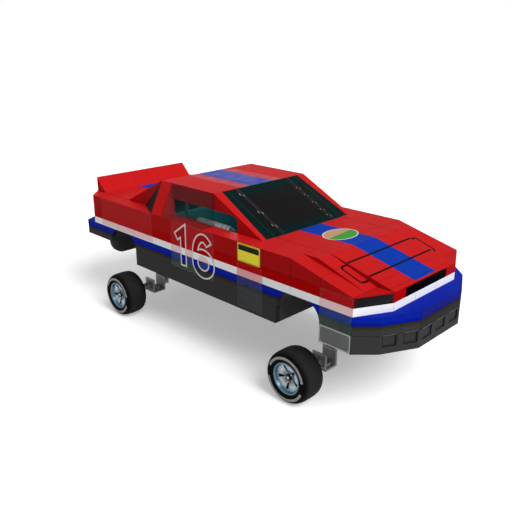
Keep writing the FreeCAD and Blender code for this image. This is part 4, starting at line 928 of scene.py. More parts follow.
def blade_mesh(middle):
    """One blade, centred on an angle in degrees."""
    builder = bmesh.new()
    rows = []
    for row in range(BLADE_ROWS + 1):
        share = row / BLADE_ROWS
        r = BLADE_IN + (BLADE_OUT - BLADE_IN) * share
        slot_share = min(max((r - SLOT_ROOT) / (SLOT_TIP - SLOT_ROOT), 0), 1)
        slot_half = (SLOT_ROOT_WIDTH + (SLOT_TIP_WIDTH - SLOT_ROOT_WIDTH) * slot_share) / 2
        half_turn = math.radians(180 / BLADES) - math.atan(slot_half / r)
        line = []
        for column in range(BLADE_COLUMNS + 1):
            t = -1 + 2 * column / BLADE_COLUMNS
            turn = math.radians(middle) + half_turn * t
            crown = BLADE_CROWN * math.sin(math.pi * share) ** 0.8 * (1 - t * t)
            edge = BLADE_TURN_IN * max(0, abs(t) - BLADE_FLAT) / (1 - BLADE_FLAT)
            y = DISC_ROOT_Y - (r - DISC_ROOT) * DISC_SLOPE - crown + edge
            line.append(builder.verts.new((r * math.cos(turn), y, r * math.sin(turn))))
        rows.append(line)
    fill(builder, rows, round_rows=False, round_points=False)
    bmesh.ops.recalc_face_normals(builder, faces=builder.faces)
    if sum(face.normal.y for face in builder.faces) > 0:
        bmesh.ops.reverse_faces(builder, faces=builder.faces)
    bmesh.ops.solidify(builder, geom=builder.faces[:], thickness=BLADE_THICKNESS)
    return painted(from_bmesh(builder), blade_metal)


print("a blade has", BLADE_ROWS * BLADE_COLUMNS, "faces in its net")

# %% [markdown]
# Twenty small bolts with washers hold the lip, a pin sits at the root of each slot, and one big six-sided
# nut holds the wheel. The valve leans out of the lip.

# %% Make the rims
RIM_BOLTS = 20
BLADE_ANGLE = 360 // BLADES


def around(radius, degrees, y):
    """A place on a circle round the Y axis."""
    turn = math.radians(degrees)
    return radius * math.cos(turn), y, radius * math.sin(turn)


def rim_meshes():
    """All the parts of one rim, facing -Y."""
    parts = turned_parts()
    for index in range(BLADES):
        slot = SLOT_START + BLADE_ANGLE * index
        parts.append(blade_mesh(slot + BLADE_ANGLE // 2))
        parts.append(bolt(around(0.050, slot, -0.0885), 0.0078, 0.008, 20, zinc_steel))
    for index in range(RIM_BOLTS):
        spot = around(0.1408, 360 // RIM_BOLTS * (index + 0.5), -0.1074)
        parts.append(bolt(spot, 0.0066, 0.0012, 20, black_oxide))
        parts.append(bolt(spot, 0.0042, 0.0042, 12, zinc_steel))
    valve = around(0.1495, SLOT_START + BLADE_ANGLE // 2, -0.1090)
    return parts + [
        bolt((0, -0.0853, 0), 0.0400, 0.0030, 40, black_oxide, dome=0.08),
        bolt((0, -0.0880, 0), 0.0335, 0.0185, 6, black_oxide, dome=0.12),
        bolt((0, -0.1060, 0), 0.0150, 0.0010, 32, zinc_steel, dome=0.1),
        bolt(valve, 0.0034, 0.0200, 14, black_rubber, axis=(-0.15, -1, -0.25)),
    ]


for wheel in WHEELS:
    rim = hang(wheel, "machined_rim_", rim_meshes(), lip_metal, "rim_", 32)
print("rim faces:", len(rim.data.polygons))

# %% [markdown]
# ## Edge bars on the suspension plates
# Each plate is stiffened by a flat bar welded round its edge, which shows paler where it was ground. A strip
# between two outlines with the same number of points makes such a bar in one piece, open in the middle.

# %% Make the edge bars
PLATE_WIDTH = 0.190
LEG_LOW, LEG_TOP, OUTER_TOP = 0.205, 1.136, 0.380


def edge_bar(name, matrix, width, height, bar, body="root", thickness=0.003):
    """A flat bar round the edge of a plate."""
    outer = rounded_box(width, height, 0.002, 2)
    inner = rounded_box(width - 2 * bar, height - 2 * bar, 0.003, 2)
    link_piece(name, [frame_strip(outer, inner, thickness, matrix)], edge_steel, body)


for end, axle, low in (("front", AXLE_X, 0.215), ("rear", -AXLE_X, 0.190)):
    for hand, side in SIDES:
        knuckle = "knuckle_" + hand if end == "front" else "root"
        tag = f"_{end}_{hand}"
        leg = axes_at((axle - 0.080, side * 0.2925, (LEG_LOW + LEG_TOP) / 2), LEFT, UP)
        edge_bar("leg_edge" + tag, leg, 0.205, LEG_TOP - LEG_LOW, 0.014)
        foot = axes_at((axle, side * 0.4825, LEG_LOW), AHEAD, LEFT)
        edge_bar("foot_edge" + tag, foot, PLATE_WIDTH, 0.174, 0.012)
        outer = axes_at((axle, side * 0.570, (low + OUTER_TOP) / 2), (-side, 0, 0), UP)
        edge_bar("outer_edge" + tag, outer, PLATE_WIDTH, OUTER_TOP - low, 0.018, knuckle, 0.0025)
        inner = axes_at((axle, side * 0.395, 0.2925), (-side, 0, 0), UP)
        edge_bar("inner_edge" + tag, inner, PLATE_WIDTH, 0.175, 0.012)
print("edge bars done")

# %% [markdown]
# ## Lamp covers
# In racing the headlamps are closed by covers of gloss black acrylic that fill their recesses, held by small
# flush screws. Each lies a little below the corner face of the nose.

# %% Make the lamp covers
CORNER_SLOPE = (0.8944, 0.4472)
gloss_black = simple_finish("gloss_black_acrylic_sheet", "#010101", "#040404", 300, 8, 0.01, (0.12, 0.2),
                            specular=0.12)
for hand, side in SIDES:
    normal = Vector((CORNER_SLOPE[0], side * CORNER_SLOPE[1], 0))
    middle = Vector((2.280, side * 0.760, 1.273))
    here = axes_at(middle - normal * 0.0075, (-normal.y, normal.x, 0), UP)
    cover = plate(rounded_box(0.397, 0.095, 0.010), 0.0065, here, 0.002)
    screws = corner_bolts(here, 0.185, 0.034, 0.0050, 0.0012, black_oxide, 0.006)
    link_piece("lamp_cover_" + hand, [cover, *screws], gloss_black)
print("lamp covers done")

# %% [markdown]
# ## Bumper vents
# Each bumper vent has a black rubber seal along three sides, which also paints the shade on the walls of
# its recess, and a pale strip at its top, which is a painted highlight. The seal is one outline in the form of
# a U. Three vents face ahead, and two stand on each sloping end of the bumper.

# %% Make the vent seals, which paint shade, and the painted highlights
VENT_HIGH, VENT_MIDDLE, VENT_SINK = 0.122, 0.889, 0.010
SHADE_SEAL, PLAY = 0.007, 0.0005
# A pale grey that paints the highlight along the top edge of each vent.
painted_highlight_edge = simple_finish("painted_highlight_on_grey_enamel", "#686868", "#757575", 60, 3, 0.05, (0.5, 0.65),
                          specular=0.15)
VENTS = [(2.565, y, 0.175, (1, 0)) for y in (-0.253, 0.0, 0.253)]
for hand, side in SIDES:
    facing = (CORNER_SLOPE[0], side * CORNER_SLOPE[1])
    for shift in (-0.112, 0.112):
        VENTS.append((2.470 - 0.4472 * shift, side * (0.570 + 0.8944 * shift), 0.155, facing))
for index, (x, y, width, (nx, ny)) in enumerate(VENTS):
    face = axes_at((x - nx * VENT_SINK, y - ny * VENT_SINK, VENT_MIDDLE), (-ny, nx, 0), UP)
    half, tall = width / 2 - PLAY, VENT_HIGH / 2 - PLAY
    inner = half - SHADE_SEAL
    # The black U is a seal that also paints the shade on the left, right and bottom walls of the recess.
    shade_seal = [(-half, tall), (-half, -tall), (half, -tall), (half, tall), (inner, tall), (inner, -tall + SHADE_SEAL),
            (-inner, -tall + SHADE_SEAL), (-inner, tall)]
    link_piece(f"vent_shade_seal_{index}", [plate(shade_seal, 0.0095, face)], black_rubber)
    # Painted highlight: a pale strip along the top edge of the vent.
    lip = [(-inner, tall - 0.005), (inner, tall - 0.005), (inner, tall), (-inner, tall)]
    link_piece(f"vent_highlight_lip_{index}", [plate(lip, 0.0095, face, 0.001)], painted_highlight_edge)
print(len(VENTS), "vents")

# %% [markdown]
# ## Windscreen straps
# Two flat straps run down the windscreen to hold it at speed, and a thin trim strip lies outside each. Small
# bright clips hold the straps. All of them are plates cut to an outline and laid on the screen's slope.

# %% Make the straps
SLOPE_LENGTH = math.hypot(0.760, 0.380)
SCREEN_TOP, SCREEN_MIDDLE = 0.095, 0.475
STRAP_Y = 0.432
strap_black = simple_finish("black_painted_aluminium_strap", "#030303", "#080808", 100, 3, 0.03,
                            (0.4, 0.55), specular=0.12)
trim_teal = simple_finish("extruded_dark_trim", "#0b2b2d", "#0f3336", 100, 3, 0.03, (0.4, 0.55),
                          specular=0.15)
trim_grey = simple_finish("extruded_grey_trim", "#2c2d2d", "#333434", 100, 3, 0.03, (0.4, 0.55),
                          specular=0.15)


def on_screen(x, y):
    """Axes on the windscreen: down the slope and to the car's left, at a place along the car."""
    return moved(axes_at((x, y, ROOF - 0.5 * (x - SCREEN_TOP)), (2, 0, -1), LEFT), 0.0003)


CLIPS = {"R": (0.040, (0.203, 0.504, 0.717)), "L": (0.018, (0.300, 0.430, 0.560, 0.690, 0.790))}
for hand, side in SIDES:
    clip_length, clip_places = CLIPS[hand]
    strap_box = rounded_box(SLOPE_LENGTH - 0.024, 0.030, 0.004)
    parts = [plate(strap_box, 0.003, on_screen(SCREEN_MIDDLE, side * STRAP_Y), 0.001)]
    for x in clip_places:
        for edge in (-0.019, 0.019):
            here = on_screen(x + edge * 0.7, side * STRAP_Y + edge)
            clip = plate(rounded_box(clip_length, 0.005, 0.002, 3), 0.0028, here, 0.0008)
            parts.append(painted(clip, zinc_steel))
    for x in (0.112, 0.838):
        spot = on_screen(x, side * STRAP_Y) @ Vector((0, 0, 0.003))
        parts.append(bolt(spot, 0.006, 0.0022, 20, black_oxide, axis=(0.447, 0, 0.894)))
    link_piece("screen_strap_" + hand, parts, strap_black)
    for name, y, finish in (("outer", 0.569, trim_teal), ("inner", 0.398, trim_grey)):
        trim_box = rounded_box(SLOPE_LENGTH - 0.030, 0.005, 0.002, 3)
        strip = plate(trim_box, 0.002, on_screen(SCREEN_MIDDLE, side * y), 0.0006)
        link_piece(f"screen_trim_{name}_{hand}", [strip], finish)
print("straps done")

# %% [markdown]
# ## Cast vinyl on the sides
# The numbers and panels are cut from cast vinyl film a fraction of a millimetre thick. The panels are nearly
# clear, so the bands show through them. Each is cut as a real sheet and laid on the side just proud of the
# paint. Its tint is one above the white band and another below, because the paint behind it changes there.

# %% Lay the clear panels
def clear_vinyl(name, colour, low_colour, alpha):
    """Cast vinyl film: thin, slightly hazy and almost flat, with one tint above the waist and one below."""
    material, tree, shader, place = start_finish(name, specular=0.03, alpha=alpha)
    height = add(tree, "ShaderNodeSeparateXYZ", {0: place}).outputs[2]
    tint = over(tree, band(tree, height, high=WAIST), colour, low_colour)
    tree.links.new(tint, shader.inputs["Base Color"])
    haze = cloud(tree, place, 35)
    uneven_gloss(tree, shader, haze, 0.4, 0.55)
    relief(tree, shader, haze, 0.02)
    return material


def on_side(start, end, side, lift):
    """The size of a panel on the car's flat side, and axes at its middle that read from outside."""
    (x0, z0), (x1, z1) = grid(*start), grid(*end)
    middle = ((x0 + x1) / 2, side * SIDE, (z0 + z1) / 2)
    return x1 - x0, z1 - z0, moved(axes_at(middle, (-side, 0, 0), UP), lift)


film = clear_vinyl("cast_clear_vinyl", "#ff4a50", "#76978c", 0.095)
tinted_film = clear_vinyl("cast_tinted_vinyl", "#ef1a20", "#60666c", 0.19)
film_edge = clear_vinyl("cut_edge_of_clear_vinyl", "#ffc0c0", "#a8b0b0", 0.06)
FILM, FILM_EDGE = 0.0004, 0.005
PANELS = (("rear", (0.02, 0.535), (2.99, 1.49), film), ("number", (4.0, 0.01), (6.0, 1.49), film),
          ("small", (7.0, -0.40), (7.98, 0.90), tinted_film), ("front", (10.0, 0.01), (10.99, 0.99), film))
for hand, side in SIDES:
    for name, start, end, finish in PANELS:
        width, height, here = on_side(start, end, side, 0.0002)
        outline = rounded_box(width, height, 0.006, 3)
        link_piece(f"film_{name}_{hand}", [plate(outline, FILM, here)], finish)
        inner = rounded_box(width - 2 * FILM_EDGE, height - 2 * FILM_EDGE, 0.004, 3)
        edge = frame_strip(outline, inner, FILM, moved(here, 0.0006))
        link_piece(f"film_edge_{name}_{hand}", [edge], film_edge)
print(2 * len(PANELS), "clear panels")

# %% [markdown]
# The digits are drawn as strokes: a wide pale stroke below and a narrower one, which lets the paint show,
# above. A stroke is a run of points with a width. Its outline is the run moved to each side, mitred where it
# turns.

# %% Draw strokes
def stroke(points, width, closed=False):
    """The two edges of a line with a width, as equal runs of points."""
    spots = [Vector((*p, 0)) for p in points]
    count = len(spots)
    left, right = [], []
    for index, spot in enumerate(spots):
        before = spot - spots[index - 1] if index or closed else spots[1] - spot
        after = spots[(index + 1) % count] - spot if index + 1 < count or closed else spot - spots[index - 1]
        before, after = before.normalized(), after.normalized()
        mitre = (before + after).normalized()
        reach = width / 2 / max(mitre.dot(before), 0.4)
        sideways = Vector((-mitre.y, mitre.x, 0)) * reach
        left.append(spot + sideways)
        right.append(spot - sideways)
    return [tuple(p)[:2] for p in left], [tuple(p)[:2] for p in right]


def shortened(points, by):
    """The run of points in reverse, cut back at its end by a distance."""
    spots = [Vector(p) for p in points]
    while (spots[-1] - spots[-2]).length <= by:
        by -= (spots[-1] - spots[-2]).length
        spots.pop()
    spots[-1] -= (spots[-1] - spots[-2]).normalized() * by
    return [tuple(spot) for spot in reversed(spots)]


def oval(cx, cz, rx, rz, start, end, steps=36):
    """Points along part of an oval, between two angles in degrees."""
    turns = [math.radians(start + (end - start) * k / steps) for k in range(steps + 1)]
    return [(cx + rx * math.cos(turn), cz + rz * math.sin(turn)) for turn in turns]


print("strokes can be drawn")

# %% [markdown]
# A plain outlined 16 stands on each door. All its sizes are counted in squares. The upper stroke is shorter
# at each open end by the width of the outline, so that the pale edge shows there too.

# %% Cut the numbers
STROKE, OUTLINE = 0.192, 0.296
NUMBER_SPOT = (5.0, 0.75)
ONE = [(4.24, 1.02), (4.60, 1.27), (4.60, 0.13)]
SIX_TOP = [(5.16, 0.42)] + oval(5.53, 0.66, 0.37, 0.58, 180, 42)
SIX_BOWL = oval(5.53, 0.44, 0.37, 0.33, 0, 350, 35)
pale_vinyl = simple_finish("cast_pale_grey_vinyl", "#d8d3d2", "#e4dfde", 150, 8, 0.01, (0.45, 0.6),
                           specular=0.1)
END_CUT = (OUTLINE - STROKE) / 2 * SQUARE
LAYERS = (("outline", OUTLINE, 0.0012, pale_vinyl), ("fill", STROKE, 0.0018, enamel))
for hand, side in SIDES:
    for label, width, lift, finish in LAYERS:
        parts = []
        for order, points in enumerate((ONE, SIX_TOP, SIX_BOWL)):
            closed = points is SIX_BOWL
            run = [((x - NUMBER_SPOT[0]) * SQUARE, (z - NUMBER_SPOT[1]) * SQUARE) for x, z in points]
            if label == "fill" and not closed:
                run = shortened(shortened(run, END_CUT), END_CUT)
            here = on_side(NUMBER_SPOT, NUMBER_SPOT, side, lift + 0.0001 * order)[2]
            parts.append(frame_strip(*stroke(run, width * SQUARE, closed), FILM, here, closed))
        link_piece(f"number_{label}_{hand}", parts, finish)
print("numbers done")

# %% [markdown]
# The yellow plate ahead of the door and the grey plate low on the front fender are thin painted aluminium,
# with rounded corners and a rivet in each. Both stay blank.

# %% Make the plates
PLATE, INK = 0.0012, 0.0003
yellow_paint = simple_finish("screen_printed_yellow_enamel", "#f6e634", "#fff03c", 120, 5, 0.03,
                             (0.4, 0.55), specular=0.1)
ink_black = simple_finish("screen_printed_black_ink", "#070706", "#100f0d", 80, 4, 0.02, (0.5, 0.65),
                          specular=0.1)
plate_grey = simple_finish("etched_grey_aluminium", "#606363", "#6b6e6e", 130, 4, 0.03, (0.45, 0.6),
                           specular=0.15)
plate_rim = simple_finish("bare_rim_of_aluminium_plate", "#a3a5a5", "#b1b3b3", 90, 3, 0.03, (0.4, 0.5),
                          metallic=0.3, specular=0.2)
for hand, side in SIDES:
    width, height, here = on_side((7.02, 0.95), (7.90, 1.485), side, 0.0012)
    bar = plate(rounded_box(width - 0.030, height * 0.30, 0.008), INK, moved(here, 0.0013, v=height * 0.27))
    line = frame_strip(rounded_box(width - 0.012, height - 0.012, 0.009),
                       rounded_box(width - 0.020, height - 0.020, 0.006), INK, moved(here, PLATE))
    sheet = plate(rounded_box(width, height, 0.012), PLATE, here, 0.0004)
    rivets = corner_bolts(here, width / 2 - 0.020, height / 2 - 0.018, 0.004, 0.0018, zinc_steel)
    parts = [sheet, painted(bar, ink_black), painted(line, ink_black), *rivets]
    link_piece("yellow_plate_" + hand, parts, yellow_paint)

    width, height, here = on_side((10.01, -0.49), (10.985, 0.0), side, 0.0006)
    outline = rounded_box(width, height, 0.006)
    inner = rounded_box(width - 0.022, height - 0.022, 0.004)
    rim = painted(frame_strip(outline, inner, PLATE, moved(here, PLATE)), plate_rim)
    rivets = corner_bolts(here, width / 2 - 0.024, height / 2 - 0.024, 0.004, 0.0018, zinc_steel)
    parts = [plate(outline, PLATE, here, 0.0003), rim, *rivets]
    link_piece("grey_plate_" + hand, parts, plate_grey)
print("plates done")

# %% [markdown]
# ## Roundel on the bonnet
# An oval decal of cast vinyl lies on the bonnet's flat part. Its field is split into two plain colours.

# %% Lay the roundel
ROUNDEL_SPOT = (1.285, 0.015, BELT)
ROUNDEL_HALF = (0.235, 0.170)
ROUNDEL_EDGE, ROUNDEL_THICKNESS = 0.012, 0.0008
tan_vinyl = simple_finish("cast_tan_vinyl", "#b98f66", "#c49c74", 60, 5, 0.01, (0.45, 0.6), specular=0.05)
green_vinyl = simple_finish("cast_green_vinyl", "#2f8f2a", "#3a9d33", 60, 5, 0.01, (0.45, 0.6),
                            specular=0.05)
here = axes_at(ROUNDEL_SPOT, LEFT, (-1, 0, 0))
parts = [plate(oval(0, 0, *ROUNDEL_HALF, 0, 360, 64)[:-1], ROUNDEL_THICKNESS, here)]
field_half = [half - ROUNDEL_EDGE for half in ROUNDEL_HALF]
for start, finish in ((8, tan_vinyl), (188, green_vinyl)):
    field = oval(0, 0, *field_half, start, start + 184, 64)[:-1]
    parts.append(painted(plate(field, 0.0005, moved(here, ROUNDEL_THICKNESS)), finish))
link_piece("bonnet_roundel", parts, pale_vinyl, "bonnet")
print("roundel done")

# %% [markdown]
# ## Roll cage
# The cage is drawn tube, bent cold round a former, so its corners are arcs. Each foot stands on a bolted
# plate.

# %% Bend the roll cage
def bent(points, radius, steps=7):
    """The run of points with each corner turned into an arc."""
    spots = [Vector(p) for p in points]
    result = [spots[0]]
    for before, corner, after in zip(spots, spots[1:], spots[2:]):
        back, ahead = (before - corner).normalized(), (after - corner).normalized()
        half = back.angle(ahead) / 2
        shortest = min((before - corner).length, (after - corner).length)
        reach = min(radius / math.tan(half), 0.45 * shortest)
        centre = corner + (back + ahead).normalized() * reach / math.cos(half)
        first, last = corner + back * reach - centre, corner + ahead * reach - centre
        for step in range(steps + 1):
            spoke = first * (1 - step / steps) + last * (step / steps)
            result.append(centre + spoke.normalized() * first.length)
    result.append(spots[-1])
    return [tuple(spot) for spot in result]


HOOP_X, CAGE_FRONT, CAGE_SIDE, CAGE_FOOT = -0.465, 0.440, 0.705, 0.800
BAR_TOP, TUBE = 1.510, 0.0195
FOOT_PLATE = 0.004
hoop_half = [(CAGE_SIDE, CAGE_FOOT), (CAGE_SIDE, 1.680), (0.661, 1.786), (0.555, 1.829)]
hoop = [(HOOP_X, y, z) for y, z in hoop_half] + [(HOOP_X, -y, z) for y, z in reversed(hoop_half)]
tubes = [tube_mesh(bent(hoop, 0.09), TUBE)]
for hand, side in SIDES:
    y = side * CAGE_SIDE
    side_bar = [(CAGE_FRONT, y, CAGE_FOOT), (CAGE_FRONT, y, BAR_TOP), (HOOP_X + TUBE * 0.8, y, BAR_TOP)]
    tubes.append(tube_mesh(bent(side_bar, 0.11), TUBE))
    for x in (HOOP_X, CAGE_FRONT):
        here = axes_at((x, y - side * 0.010, CAGE_FOOT), AHEAD, LEFT)
        tubes.append(plate(rounded_box(0.070, 0.080, 0.008, 3), FOOT_PLATE, here, 0.001))
        for u in (-0.026, 0.026):
            spot = (x + u, y - side * 0.040, CAGE_FOOT + FOOT_PLATE)
            tubes.append(bolt(spot, 0.006, 0.005, 6, zinc_steel, axis=UP))
cage = link_piece("bent_roll_cage", tubes, cage_enamel, smooth_under=40)
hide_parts("roll_cage")
print("cage faces:", len(cage.data.polygons))

# %% [markdown]
# Foam sleeves in a pale fabric cover lie over the side bars, pulled tight by cable ties, and swell between
# them. A sleeve is turned from a profile with a soft pinch at each tie, and a little noise makes it
# hand-made.

# %% Make the sleeves
SLEEVE_BACK, SLEEVE_FRONT, SLEEVE_RADIUS, SLEEVE_STEPS = -0.25, 0.300, 0.042, 110
SLEEVE_END, PINCH, PINCH_WIDTH = 0.022, 0.006, 0.009
TIES = (-0.20, -0.075, 0.055, 0.185, 0.260)
TIE_SECTION = [(-0.0025, 0.0345), (0.0025, 0.0345), (0.0025, 0.0375), (-0.0025, 0.0375)]
sleeve_fabric = simple_finish("pale_fire_retardant_sleeve_fabric", "#a3b3b3", "#b7c4c4", 40, 1.6, 0.25,
                              (0.8, 0.92), sheen=0.3, specular=0.1)
sleeve_section = []
for step in range(SLEEVE_STEPS + 1):
    along = SLEEVE_BACK + (SLEEVE_FRONT - SLEEVE_BACK) * step / SLEEVE_STEPS
    end = min(along - SLEEVE_BACK, SLEEVE_FRONT - along) / SLEEVE_END
    rounding = math.sqrt(max(0.0, 1 - (1 - min(end, 1)) ** 2))
    pinch = sum(PINCH * math.exp(-((along - tie) / PINCH_WIDTH) ** 2) for tie in TIES)
    sleeve_section.append((along, TUBE + (SLEEVE_RADIUS - TUBE) * rounding - pinch))
for hand, side in SIDES:
    sleeve = lathe(sleeve_section, 40, closed=False)
    for vertex in sleeve.vertices:
        swell = 1 + 0.02 * noise.noise(vertex.co * 22)
        vertex.co = Vector((vertex.co.x * swell, vertex.co.y, vertex.co.z * swell))
    stand(sleeve, (0, side * CAGE_SIDE, BAR_TOP), AHEAD)
    piece = link_piece("cage_sleeve_" + hand, [sleeve], sleeve_fabric, smooth_under=70)
    ties = [stand(lathe(TIE_SECTION, 40), (tie, side * CAGE_SIDE, BAR_TOP), AHEAD) for tie in TIES]
    link_piece("cage_ties_" + hand, ties, black_rubber)
print(2 * len(TIES), "ties")

# %% [markdown]
# ## Seat
# The driver's seat is a folded aluminium shell with two wings bolted to its sides. A sheet that is folded
# along straight lines is a line in side view with a thickness, and it runs straight across the car.

# %% Fold the seat's shell
SEAT_Y, SEAT_HALF = 0.380, 0.236
SHELL_WIDTH = 2 * SEAT_HALF - 0.004
PAN_FRONT, FOLD, BACK_TOP = Vector((0.194, 1.000)), Vector((-0.088, 0.962)), Vector((-0.262, 1.552))
WING = ((-0.255, 0.803), (0.178, 0.803), (0.178, 1.055), (-0.040, 1.055), (-0.125, 1.095), (-0.125, 1.400),
        (-0.225, 1.556), (-0.345, 1.556), (-0.330, 1.500))
shell_alloy = simple_finish("folded_aluminium_seat_shell", "#7d8284", "#90969a", 130, 3, 0.03, (0.35, 0.5),
                            metallic=0.9)


def bent_sheet(line, radius, thickness, width, matrix):
    """A sheet or strap that follows a line, bent at its corners, and is this wide along the third axis."""
    left, right = stroke(bent(line, radius), thickness)
    return plate(left + right[::-1], width, matrix)


def side_view(y):
    """Axes for a form drawn as (x, z) points, which runs from y to the car's right."""
    return axes_at((0, y, 0), AHEAD, UP)


shell_left = side_view(SEAT_Y + SHELL_WIDTH / 2)
shell = [bent_sheet((PAN_FRONT, FOLD, BACK_TOP), 0.06, 0.005, SHELL_WIDTH, shell_left)]
for hand, side in SIDES:
    shell.append(plate(bent(WING, 0.03), 0.004, side_view(SEAT_Y + side * SEAT_HALF + 0.002), 0.001))
    for x, z in ((0.10, 0.99), (-0.02, 0.98), (-0.16, 1.14), (-0.21, 1.32)):
        outside = SEAT_Y + side * (SEAT_HALF + 0.0005)
        shell.append(bolt((x, outside, z), 0.007, 0.003, 16, zinc_steel, axis=(0, side, 0)))
seat = link_piece("folded_seat_shell", shell, shell_alloy)
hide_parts("driver_seat")
print("seat shell faces:", len(seat.data.polygons))

# %% [markdown]
# A pad is stuffed fabric, so its shape comes from a cloth simulation: a flat pad is blown up from inside,
# and its edges pull in as its faces swell. How far it may move is capped, because the pad has to stay inside
# the solid seat. The seams are pressed in afterwards.

# %% Stuff the pads
pad_fabric = simple_finish("black_knit_seat_fabric", "#101011", "#1b1b1d", 30, 1.2, 0.3, (0.8, 0.95),
                           sheen=0.35, specular=0.1)
PAD_STEPS, PAD_PRESSURE, PAD_CAP = 20, 4, 0.014
SEAM_DEPTH, SEAM_WIDTH = 0.009, 0.005


def settle(piece):
    """Turns a piece's modifiers into its plain mesh."""
    graph = bpy.context.evaluated_depsgraph_get()
    mesh = bpy.data.meshes.new_from_object(piece.evaluated_get(graph))
    piece.modifiers.clear()
    piece.data = mesh


def blow_up(piece):
    """Fills a pad with air as cloth, and holds each point within the cap of where it was."""
    start = [vertex.co.copy() for vertex in piece.data.vertices]
    cloth = piece.modifiers.new("cloth", "CLOTH")
    cloth.settings.use_pressure = True
    cloth.settings.uniform_pressure_force = PAD_PRESSURE
    cloth.settings.effector_weights.gravity = 0
    for step in range(1, PAD_STEPS + 1):
        scene.frame_set(step)
    settle(piece)
    for vertex, first in zip(piece.data.vertices, start):
        move = vertex.co - first
        if move.length > PAD_CAP:
            vertex.co = first + move.normalized() * PAD_CAP


def stuffed_pad(name, width, height, thickness, matrix, seam):
    """A pad with two straight seams pressed in across its front."""
    block = plate(rounded_box(width, height, 0.035), thickness, Matrix.Identity(4), 0.008)
    piece = link_piece(name, [block], pad_fabric, smooth_under=180)
    remesh = piece.modifiers.new("remesh", "REMESH")
    remesh.mode = "VOXEL"
    remesh.voxel_size = 0.006
    settle(piece)
    blow_up(piece)
    piece.modifiers.new("smooth", "SUBSURF").levels = 1
    settle(piece)
    for vertex in piece.data.vertices:
        off = min(abs(vertex.co.x - seam), abs(vertex.co.x + seam))
        if vertex.co.z > thickness * 0.4:
            vertex.co.z -= SEAM_DEPTH * math.exp(-(off / SEAM_WIDTH) ** 2)
        vertex.co.z = max(vertex.co.z, 0.001)
    piece.data.transform(matrix)
    piece.data.polygons.foreach_set("use_smooth", [True] * len(piece.data.polygons))


pan, back = PAN_FRONT - FOLD, BACK_TOP - FOLD
pan_spot, back_spot = FOLD + pan * 0.56, FOLD + back * 0.50
pan_axes = axes_at((pan_spot.x, SEAT_Y, pan_spot.y + 0.003), LEFT, (-pan.x, 0, -pan.y))
back_axes = axes_at((back_spot.x + 0.004, SEAT_Y, back_spot.y), LEFT, (back.x, 0, back.y))
stuffed_pad("seat_cushion", 0.400, 0.225, 0.045, pan_axes, 0.075)
stuffed_pad("seat_back_pad", 0.330, 0.500, 0.040, back_axes, 0.065)
print("pads done")

# %% [markdown]
# Shoulder and lap belts are flat polyester webbing and meet at a round buckle. They lie on the pads as they
# would with nobody in the seat, so each is a strap bent along a line.

# %% Lay the belts
BUCKLE = Vector((-0.004, SEAT_Y, 1.100))
WEB_WIDTH, WEB_THICKNESS = 0.048, 0.0028
webbing = simple_finish("woven_polyester_webbing", "#8d1414", "#9d1c1c", 50, 1.5, 0.25, (0.7, 0.85),
                        sheen=0.2, specular=0.1)
belts = []
for hand, side in SIDES:
    over_top = [BACK_TOP + Vector(step) for step in ((-0.02, -0.06), (0.0, 0.004), (0.078, -0.05))]
    shoulder = [*over_top, (-0.052, 1.17), (BUCKLE.x, BUCKLE.z)]
    outside = SEAT_Y + side * 0.075 + WEB_WIDTH / 2
    belts.append(bent_sheet(shoulder, 0.02, WEB_THICKNESS, WEB_WIDTH, side_view(outside)))
    lap = [(BUCKLE.x, SEAT_Y + side * 0.02), (BUCKLE.x - 0.010, SEAT_Y + side * 0.15),
           (-0.085, SEAT_Y + side * 0.228)]
    lap_low = Matrix.Translation((0, 0, BUCKLE.z - 0.034))
    belts.append(bent_sheet(lap, 0.05, WEB_THICKNESS, WEB_WIDTH, lap_low))
belts.append(bolt(BUCKLE - Vector((0.004, 0, 0)), 0.030, 0.018, 32, zinc_steel, axis=(0.94, 0, 0.34)))
link_piece("seat_belts", belts, webbing)
print("belts done")

# %% [markdown]
# ## Steering wheel
# The wheel is a ring wrapped in suede and sewn along its inner side, on three alloy spokes. It is made round
# the Y axis and then stood on the column's own axis, so that its turn is true.

# %% Make the steering wheel
WHEEL_CENTRE, WHEEL_RADIUS, GRIP = Vector((0.3685, 0.380, 1.4594)), 0.180, 0.0138
TILT = math.radians(20)
COLUMN = Vector((-math.cos(TILT), 0, math.sin(TILT)))
STITCHES = 72
suede = simple_finish("black_suede", "#0c0c0c", "#171616", 25, 1.0, 0.2, (0.85, 0.95), sheen=0.4,
                      specular=0.1)
thread = simple_finish("waxed_grey_thread", "#8e8e8a", "#9c9c98", 20, 0.8, 0.05, (0.6, 0.7))
spoke_alloy = simple_finish("brushed_black_anodised_spoke", "#2a2b2d", "#36383a", 40, 1.5, 0.02,
                            (0.3, 0.45), metallic=0.8)
facing_driver = axes_at(WHEEL_CENTRE, (0, -1, 0), (math.sin(TILT), 0, math.cos(TILT)))


def turned(matrix, degrees, axis="Z"):
    """The same axes, turned about one of themselves."""
    return matrix @ Matrix.Rotation(math.radians(degrees), 4, axis)


